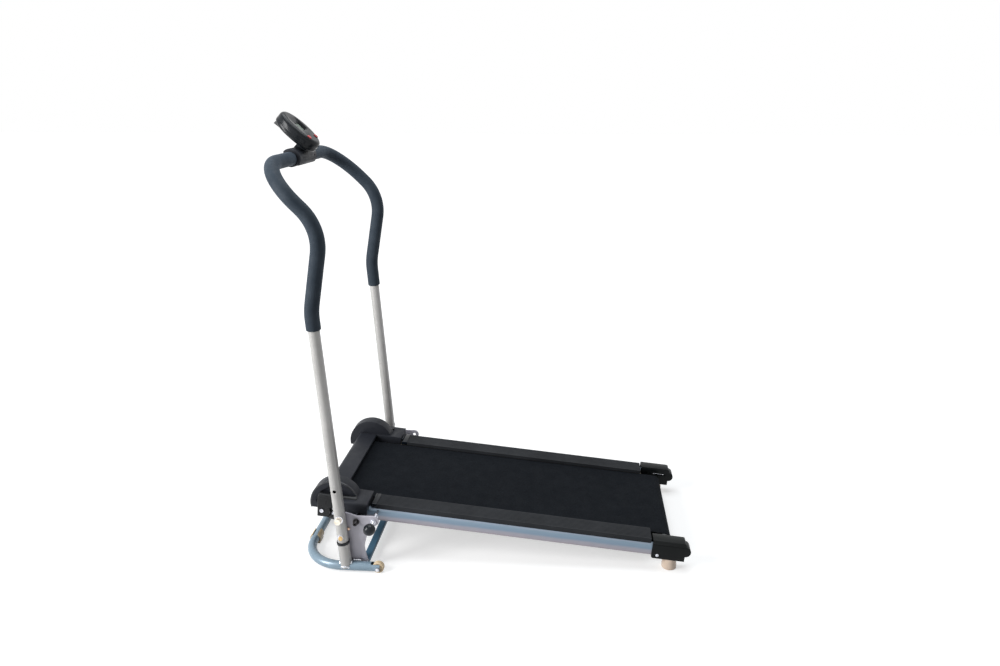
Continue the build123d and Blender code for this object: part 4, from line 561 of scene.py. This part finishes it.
def cut_cross(piece, centre, out, size):
    """Cross recess in a screw head; out is the way the head faces."""
    turn = out.to_track_quat("Z", "Y").to_euler()
    blades = []
    for reach in ((size, size * CROSS_ARM), (size * CROSS_ARM, size)):
        bpy.ops.object.select_all(action="DESELECT")
        bpy.ops.mesh.primitive_cube_add(size=1, location=centre, rotation=turn)
        blade = bpy.context.object
        blade.scale = (reach[0], reach[1], CROSS_DEPTH)
        blades.append(blade)
    only(blades[0])
    blades[1].select_set(True)
    bpy.ops.object.transform_apply(location=True, rotation=True, scale=True)
    for blade in blades:
        cut = piece.modifiers.new("recess", "BOOLEAN")
        cut.operation = "DIFFERENCE"
        cut.solver = "EXACT"
        cut.object = blade
    only(piece)
    for name in [modifier.name for modifier in piece.modifiers]:
        bpy.ops.object.modifier_apply(modifier=name)
    for blade in blades:
        only(blade)
        bpy.ops.object.delete()


def soften(name, width, segments, smooth=35, crosses=(), cross_size=0.0):
    """Copy of a solid, shown in its place: hard edges rolled over, screw heads recessed."""
    piece = copy_node(name, f"{name}_finished")
    round_hard_edges(piece, width, segments)
    for spot, out in crosses:
        cut_cross(piece, spot, out, cross_size)
    settle(piece, body_of_node(name), finish_of(name), smooth)
    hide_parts(name)


def bracket_screw_spots():
    """Middle of the round head at the front of each bracket's skirt, and the way it faces."""
    low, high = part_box("bracket_screws")
    return [(Vector((low[0] + BRACKET_HEAD, outer_face("bracket_screws", sign),
                     high[2] - BRACKET_HEAD)), Vector((0, sign, 0)))
            for sign in SIDES.values()]


def cap_screw_spots():
    """Middle of the screw head on each rear cap, and the way it faces."""
    middle = middle_of("cap_screws")
    return [(Vector((middle.x, outer_face("cap_screws", sign), middle.z)), Vector((0, sign, 0)))
            for sign in SIDES.values()]


# ---------------------------------------------------------------- foam grips
FOAM_VOXEL = 0.0026


def make_grip(side):
    """Foam sleeve: remeshed so that its ends round over and its skin sits a little uneven."""
    node = f"{side}_grip_foam"
    grip = copy_node(node, f"{side}_grip")
    apply_modifier(grip, "REMESH", mode="VOXEL", voxel_size=FOAM_VOXEL, use_smooth_shade=True)
    apply_modifier(grip, "SMOOTH", factor=0.5, iterations=4)
    settle(grip, "frame", "foam_blue")
    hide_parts(node)


# ---------------------------------------------------------------- knob
MOUTH_REACH = 0.93  # how far along its radius the ball is cut flat
MOUTH_RING = 0.0006
MOUTH_SINK = 0.0004
MOULD_LINE = 0.00018  # width of the parting line round the ball


def make_lock_knob():
    """Ball knob: a turned ball with a flat, ringed mouth where the pin enters."""
    low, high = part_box("lock_knob")
    radius = (high[0] - low[0]) / 2
    centre = middle_of("lock_knob")
    centre.y = low[1] + radius
    bpy.ops.object.select_all(action="DESELECT")
    bpy.ops.mesh.primitive_uv_sphere_add(
        segments=64, ring_count=40, radius=radius, location=centre, rotation=(radians(-90), 0, 0))
    ball = named_primitive("lock_ball")
    mouth = centre.y + radius * MOUTH_REACH
    bpy.ops.object.mode_set(mode="EDIT")
    bpy.ops.mesh.select_all(action="SELECT")
    bpy.ops.mesh.bisect(plane_co=(0, mouth, 0), plane_no=(0, 1, 0), use_fill=True, clear_outer=True)
    bpy.ops.object.mode_set(mode="OBJECT")
    pick_faces(ball, lambda face: face.normal.y > 0.99 and abs(face.center.y - mouth) < 0.0002)
    bpy.ops.mesh.inset(thickness=MOUTH_RING)
    bpy.ops.transform.translate(value=(0, -MOUTH_SINK, 0))
    bpy.ops.object.mode_set(mode="OBJECT")
    pick_edges(ball, lambda a, b: abs(a.x - centre.x) < 1e-5 and abs(b.x - centre.x) < 1e-5)
    bpy.ops.mesh.bevel(offset=MOULD_LINE, segments=2, affect="EDGES")
    bpy.ops.object.mode_set(mode="OBJECT")
    settle(ball, "lock", "plastic_gloss", smooth=50)
    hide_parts("lock_knob")


# ---------------------------------------------------------------- washers, rivets and rims
WASHER_THICK = 0.0015
WASHERS = {  # bolts: how deep behind the head, how far off its middle, radius
    "upright_bolts": (0.0088, 0.0016, 0.0116),
    "upright_lower_bolts": (0.0034, -0.0016, 0.0086),
}
RIVET_RADIUS = 0.0040
RIVET_THICK = 0.0022
RIVET_BEFORE_PIVOT = 0.023
RIVET_UNDER_PIVOT = 0.0215
RIVET_STEPS = 4  # rings that dome the head
RIVET_RING = 0.0007
RIVET_RISE = 0.00025
DOME_RADIUS = 0.070
RIM_INSET = 0.0022
RIM_RADIUS = 0.0026  # of the bead itself
RIM_FOOT = 0.0185  # the rim stops this far under the dome's middle


def make_washer(name, centre, sign, outer, thick):
    """Round washer with a rolled rim, lying against a tube or plate."""
    bpy.ops.object.select_all(action="DESELECT")
    bpy.ops.mesh.primitive_cylinder_add(
        vertices=40, radius=outer, depth=thick, location=centre, rotation=LYING_ALONG_Y)
    washer = named_primitive(name)
    pick_faces(washer, lambda face: abs(face.normal.y) > 0.9)
    bpy.ops.mesh.inset(thickness=outer * 0.12)
    bpy.ops.object.mode_set(mode="OBJECT")
    round_hard_edges(washer, thick * 0.3, 2)
    pick_faces(washer, lambda face: face.normal.y * sign > 0.99)
    bpy.ops.mesh.inset(thickness=outer * 0.25)
    bpy.ops.transform.translate(value=(0, -sign * thick * 0.2, 0))
    bpy.ops.object.mode_set(mode="OBJECT")
    return washer


def make_upright_washers():
    """Bright washers behind the heads of the main bolts and of the yellow lower bolts."""
    for bolts, (depth, shift, outer) in WASHERS.items():
        middle = middle_of(bolts)
        for side, sign in SIDES.items():
            seat = outer_face(bolts, sign) - sign * depth
            spot = Vector((middle.x + shift, seat, middle.z + abs(shift)))
            washer = make_washer(f"{side}_{bolts}_washer", spot, sign, outer, WASHER_THICK)
            settle(washer, "frame", "zinc")


def make_plate_rivets():
    """Domed copper-washed rivets that pin each side plate to its socket."""
    pivot = middle_of("pivot_pins")
    for side, sign in SIDES.items():
        spot = (pivot.x - RIVET_BEFORE_PIVOT,
                outer_face(f"{side}_side_plate", sign) - sign * 0.0002,
                pivot.z - RIVET_UNDER_PIVOT)
        bpy.ops.object.select_all(action="DESELECT")
        bpy.ops.mesh.primitive_cylinder_add(
            vertices=32, radius=RIVET_RADIUS, depth=RIVET_THICK, rotation=LYING_ALONG_Y,
            location=spot)
        rivet = named_primitive(f"{side}_plate_rivet")
        for _ in range(RIVET_STEPS):
            pick_faces(rivet, lambda face: face.normal.y * sign > 0.97)
            bpy.ops.mesh.inset(thickness=RIVET_RING)
            bpy.ops.transform.translate(value=(0, sign * RIVET_RISE, 0))
            bpy.ops.object.mode_set(mode="OBJECT")
        settle(rivet, "frame", "rivet_copper", smooth=60)


def make_dome_rims():
    """Rolled glossy bead round the outer edge of each flywheel housing, open below."""
    for side, sign in SIDES.items():
        housing = f"{side}_flywheel_housing"
        low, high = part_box(housing)
        edge = outer_face(housing, sign) - sign * RIM_INSET
        centre = Vector((low[0] + DOME_RADIUS, edge, high[2] - DOME_RADIUS))
        bpy.ops.object.select_all(action="DESELECT")
        bpy.ops.mesh.primitive_torus_add(
            major_segments=144, minor_segments=20, major_radius=DOME_RADIUS - RIM_INSET,
            minor_radius=RIM_RADIUS, location=centre, rotation=LYING_ALONG_Y)
        bead = named_primitive(f"{side}_dome_rim")
        bpy.ops.object.mode_set(mode="EDIT")
        bpy.ops.mesh.select_all(action="SELECT")
        bpy.ops.mesh.bisect(
            plane_co=centre - DECK_UP * RIM_FOOT, plane_no=DECK_UP, use_fill=True,
            clear_inner=True)
        bpy.ops.object.mode_set(mode="OBJECT")
        settle(bead, "deck", "rim_gloss", smooth=60)


# ---------------------------------------------------------------- weld beads
WELD_STEP = 0.0016  # length of one slice of a straight bead
WELD_PITCH = 0.0032  # length of each swollen and each plain stretch
FOOT_PITCH = 0.0034
FOOT_SWELL = 0.0009
FOOT_RADIUS = 0.0024  # of the ring's bead
FOOT_SLICES = 16  # strips in which a ring is lowered onto the tube
FOOT_SAG = 0.55  # share of the tube's own fall that the ring follows
SOCKET_LEAN = 0.93  # share of its lean that a socket has made where it meets the base tube
PLATE_WELD_RADIUS = 0.0021
PLATE_WELD_START = 0.002  # behind the socket
PLATE_WELD_END = 0.024
CROSS_WELD_RADIUS = 0.0017


def ripple(bead, along, pitch, swell):
    """Swells every other slice of a bead, as the passes of a weld do."""
    pick_faces(bead, lambda face: int(along(face.center) / pitch + 1000) % 2 == 0)
    bpy.ops.transform.shrink_fatten(value=swell)
    bpy.ops.mesh.select_all(action="SELECT")
    bpy.ops.mesh.vertices_smooth(factor=0.35, repeat=1)
    bpy.ops.object.mode_set(mode="OBJECT")


def make_straight_weld(name, start, end, radius):
    """Weld bead between two points: a rod with rounded ends, rippled along its length."""
    span = end - start
    bpy.ops.object.select_all(action="DESELECT")
    bpy.ops.mesh.primitive_cylinder_add(
        vertices=12, radius=radius, depth=span.length, location=(start + end) / 2,
        rotation=span.to_track_quat("Z", "Y").to_euler())
    bead = named_primitive(name)
    way = span.normalized()
    pick_edges(bead, lambda a, b: abs((b - a).normalized().dot(way)) > 0.99)
    bpy.ops.mesh.subdivide(number_cuts=max(5, int(span.length / WELD_STEP)))
    bpy.ops.object.mode_set(mode="OBJECT")
    pick_faces(bead, lambda face: abs(face.normal.dot(way)) > 0.9)
    bpy.ops.mesh.inset(thickness=radius * 0.35)
    bpy.ops.object.mode_set(mode="OBJECT")
    ripple(bead, lambda point: (point - start).dot(way), WELD_PITCH, radius * 0.30)
    settle(bead, "frame", "weld", smooth=60)


def make_foot_welds():
    """Weld where each socket stands on the base tube: a ring that saddles the tube."""
    base_low, base_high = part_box("base_tube")
    tube_r = (base_high[2] - base_low[2]) / 2
    tube_z = (base_high[2] + base_low[2]) / 2
    for side, sign in SIDES.items():
        low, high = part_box(f"{side}_socket")
        leg_y = sign * (abs(high[1] + low[1]) / 2)
        radius = (high[1] - low[1]) / 2
        foot_x = low[0] + radius + (high[0] - low[0] - 2 * radius) * SOCKET_LEAN
        bpy.ops.object.select_all(action="DESELECT")
        bpy.ops.mesh.primitive_torus_add(
            major_segments=64, minor_segments=10, major_radius=radius + 0.0003,
            minor_radius=FOOT_RADIUS, location=(foot_x, leg_y, tube_z + tube_r + 0.0006))
        bead = named_primitive(f"{side}_foot_weld")
        ripple(bead, lambda point: atan2(point.y - leg_y, point.x - foot_x) * radius,
               FOOT_PITCH, FOOT_SWELL)
        for step in range(FOOT_SLICES):
            near = tube_r * (step + 0.5) / FOOT_SLICES
            half = tube_r / (2 * FOOT_SLICES) + 1e-6
            drop = tube_r - (tube_r ** 2 - near ** 2) ** 0.5
            pick_faces(bead, lambda face: abs(abs(face.center.y - leg_y) - near) <= half)
            bpy.ops.transform.translate(value=(0, 0, -drop * FOOT_SAG))
            bpy.ops.object.mode_set(mode="OBJECT")
        pick_faces(bead, lambda face: abs(face.center.y - leg_y) > tube_r)
        bpy.ops.transform.translate(value=(0, 0, -tube_r * FOOT_SAG))
        bpy.ops.mesh.select_all(action="SELECT")
        bpy.ops.mesh.vertices_smooth(factor=0.5, repeat=3)
        bpy.ops.object.mode_set(mode="OBJECT")
        settle(bead, "frame", "weld", smooth=60)


def make_plate_welds():
    """Beads along the foot of each side plate and at the ends of the cross member."""
    plate_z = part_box("base_tube")[1][2] - 0.0006
    cross_low, cross_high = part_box("base_cross_member")
    cross_z = cross_high[2] - 0.0004
    for side, sign in SIDES.items():
        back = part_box(f"{side}_socket")[1][0]
        face = outer_face(f"{side}_side_plate", sign) + sign * 0.0010
        start = Vector((back + PLATE_WELD_START, face, plate_z))
        end = Vector((back + PLATE_WELD_END, face, plate_z))
        make_straight_weld(f"{side}_plate_weld", start, end, PLATE_WELD_RADIUS)
        joint = outer_face("base_cross_member", sign)
        start = Vector((cross_low[0] + 0.001, joint, cross_z))
        end = Vector((cross_high[0] - 0.001, joint, cross_z))
        make_straight_weld(f"{side}_cross_weld", start, end, CROSS_WELD_RADIUS)


# ---------------------------------------------------------------- camera, light and floor
CAMERA_SPOT = (0.2429, -2.0506, 1.2890)
CAMERA_TURN = radians(3.86)
CAMERA_DIP = radians(15.99)
KEY_POWER = 90
FILL_POWER = 5
TOP_POWER = 58
ROOM_LIGHT = 0.15  # what the walls of the room send onto the machine
PAPER_NEAR = (0.9, 0.58)  # distance from the middle, and how much the floor glows up to there
PAPER_FAR = (2.4, 1.0)


def add_camera():
    """Standing to the left of the machine, a little behind its middle and looking down."""
    data = bpy.data.cameras.new("camera")
    camera = bpy.data.objects.new("camera", data)
    bpy.context.collection.objects.link(camera)
    camera.location = CAMERA_SPOT
    look = Vector((-sin(CAMERA_TURN) * cos(CAMERA_DIP), cos(CAMERA_TURN) * cos(CAMERA_DIP),
                   -sin(CAMERA_DIP)))
    camera.rotation_euler = look.to_track_quat("-Z", "Y").to_euler()
    data.sensor_width = 36
    data.lens = 27
    data.shift_x = -0.0252
    data.shift_y = -0.0298
    data.clip_end = 40
    bpy.context.scene.camera = camera


def add_area(name, location, target, size, power, tone=(1, 1, 1)):
    """Rectangular soft lamp that aims at a point."""
    data = bpy.data.lights.new(name, "AREA")
    data.shape = "RECTANGLE"
    data.size, data.size_y = size
    data.energy = power
    data.color = tone
    lamp = bpy.data.objects.new(name, data)
    bpy.context.collection.objects.link(lamp)
    lamp.location = location
    aim = Vector(target) - Vector(location)
    lamp.rotation_euler = aim.to_track_quat("-Z", "Y").to_euler()


def ray_share(tree, rays):
    """1 for the kinds of ray named, from the Light Path outputs."""
    path = tree.nodes.new("ShaderNodeLightPath")
    total = path.outputs[rays[0]]
    for ray in rays[1:]:
        more = tree.nodes.new("ShaderNodeMath")
        more.operation = "MAXIMUM"
        tree.links.new(total, more.inputs[0])
        tree.links.new(path.outputs[ray], more.inputs[1])
        total = more.outputs["Value"]
    return total


def glow_of(tree, strength):
    """White emission of the given strength."""
    glow = tree.nodes.new("ShaderNodeEmission")
    glow.inputs["Strength"].default_value = strength
    return glow


def choose(tree, share, usual, special):
    """The usual shader, or the special one where share is 1."""
    mix = tree.nodes.new("ShaderNodeMixShader")
    tree.links.new(share, mix.inputs["Fac"])
    tree.links.new(usual, mix.inputs[1])
    tree.links.new(special, mix.inputs[2])
    return mix.outputs["Shader"]


def add_lights():
    """Tall key at the machine's front left, weak fill, broad cool lamp overhead, white room."""
    add_area("key", (-2.35, -1.45, 1.5), (-0.3, 0, 0.55), (0.9, 2.0), KEY_POWER)
    add_area("front_fill", (-0.9, -3.3, 1.6), (0, 0, 0.4), (1.8, 1.4), FILL_POWER)
    add_area("top", (0.1, 0.4, 3.0), (0.2, 0, 0.2), (2.6, 1.8), TOP_POWER, (0.93, 0.97, 1.0))
    world = bpy.data.worlds.new("room")
    bpy.context.scene.world = world
    world.use_nodes = True
    tree = world.node_tree
    soft = tree.nodes["Background"]
    soft.inputs["Color"].default_value = (1, 1, 1, 1)
    soft.inputs["Strength"].default_value = ROOM_LIGHT
    white = tree.nodes.new("ShaderNodeBackground")
    white.inputs["Color"].default_value = (1, 1, 1, 1)
    white.inputs["Strength"].default_value = 1.0
    seen = ray_share(tree, SEEN_BY)
    room = choose(tree, seen, soft.outputs["Background"], white.outputs["Background"])
    tree.links.new(room, tree.nodes["World Output"].inputs["Surface"])


def add_floor():
    """Pale floor that stays white where lit and keeps the machine's shadow."""
    bpy.ops.object.select_all(action="DESELECT")
    bpy.ops.mesh.primitive_plane_add(size=40, location=(0, 0, 0))
    floor = bpy.context.object
    floor.name = "floor"
    material, tree, shader = new_material("pale_floor")
    shader.inputs["Roughness"].default_value = 0.9
    shader.inputs["Specular IOR Level"].default_value = 0.1
    tint(tree, shader, object_noise(tree, 2.0), (0.60, 0.60, 0.60), (0.62, 0.62, 0.62))
    place = tree.nodes.new("ShaderNodeTexCoord")
    distance = tree.nodes.new("ShaderNodeVectorMath")
    distance.operation = "LENGTH"
    spread = tree.nodes.new("ShaderNodeMapRange")
    for end, (reach, glow) in (("Min", PAPER_NEAR), ("Max", PAPER_FAR)):
        spread.inputs[f"From {end}"].default_value = reach
        spread.inputs[f"To {end}"].default_value = glow
    tree.links.new(place.outputs["Object"], distance.inputs[0])
    tree.links.new(distance.outputs["Value"], spread.inputs["Value"])
    paper = glow_of(tree, 1.0)
    tree.links.new(spread.outputs["Result"], paper.inputs["Strength"])
    none = glow_of(tree, 0.0)
    seen = ray_share(tree, SEEN_BY)
    lift = choose(tree, seen, none.outputs["Emission"], paper.outputs["Emission"])
    total = tree.nodes.new("ShaderNodeAddShader")
    tree.links.new(shader.outputs["BSDF"], total.inputs[0])
    tree.links.new(lift, total.inputs[1])
    tree.links.new(total.outputs["Shader"], tree.nodes["Material Output"].inputs["Surface"])
    floor.data.materials.append(material)


dress_cad_nodes()
for node_name, (edge_width, edge_segments) in SOFT_EDGES.items():
    soften(node_name, edge_width, edge_segments)
soften("upright_bolts", 0.0009, 2, smooth=25)
soften("bracket_screws", 0.0008, 3, crosses=bracket_screw_spots(), cross_size=0.0062)
soften("cap_screws", 0.0009, 3, crosses=cap_screw_spots(), cross_size=0.0052)
for grip_side in SIDES:
    make_grip(grip_side)
make_lock_knob()
make_upright_washers()
make_plate_rivets()
make_dome_rims()
make_foot_welds()
make_plate_welds()
add_camera()
add_lights()
add_floor()
bpy.context.scene.view_settings.view_transform = "Standard"
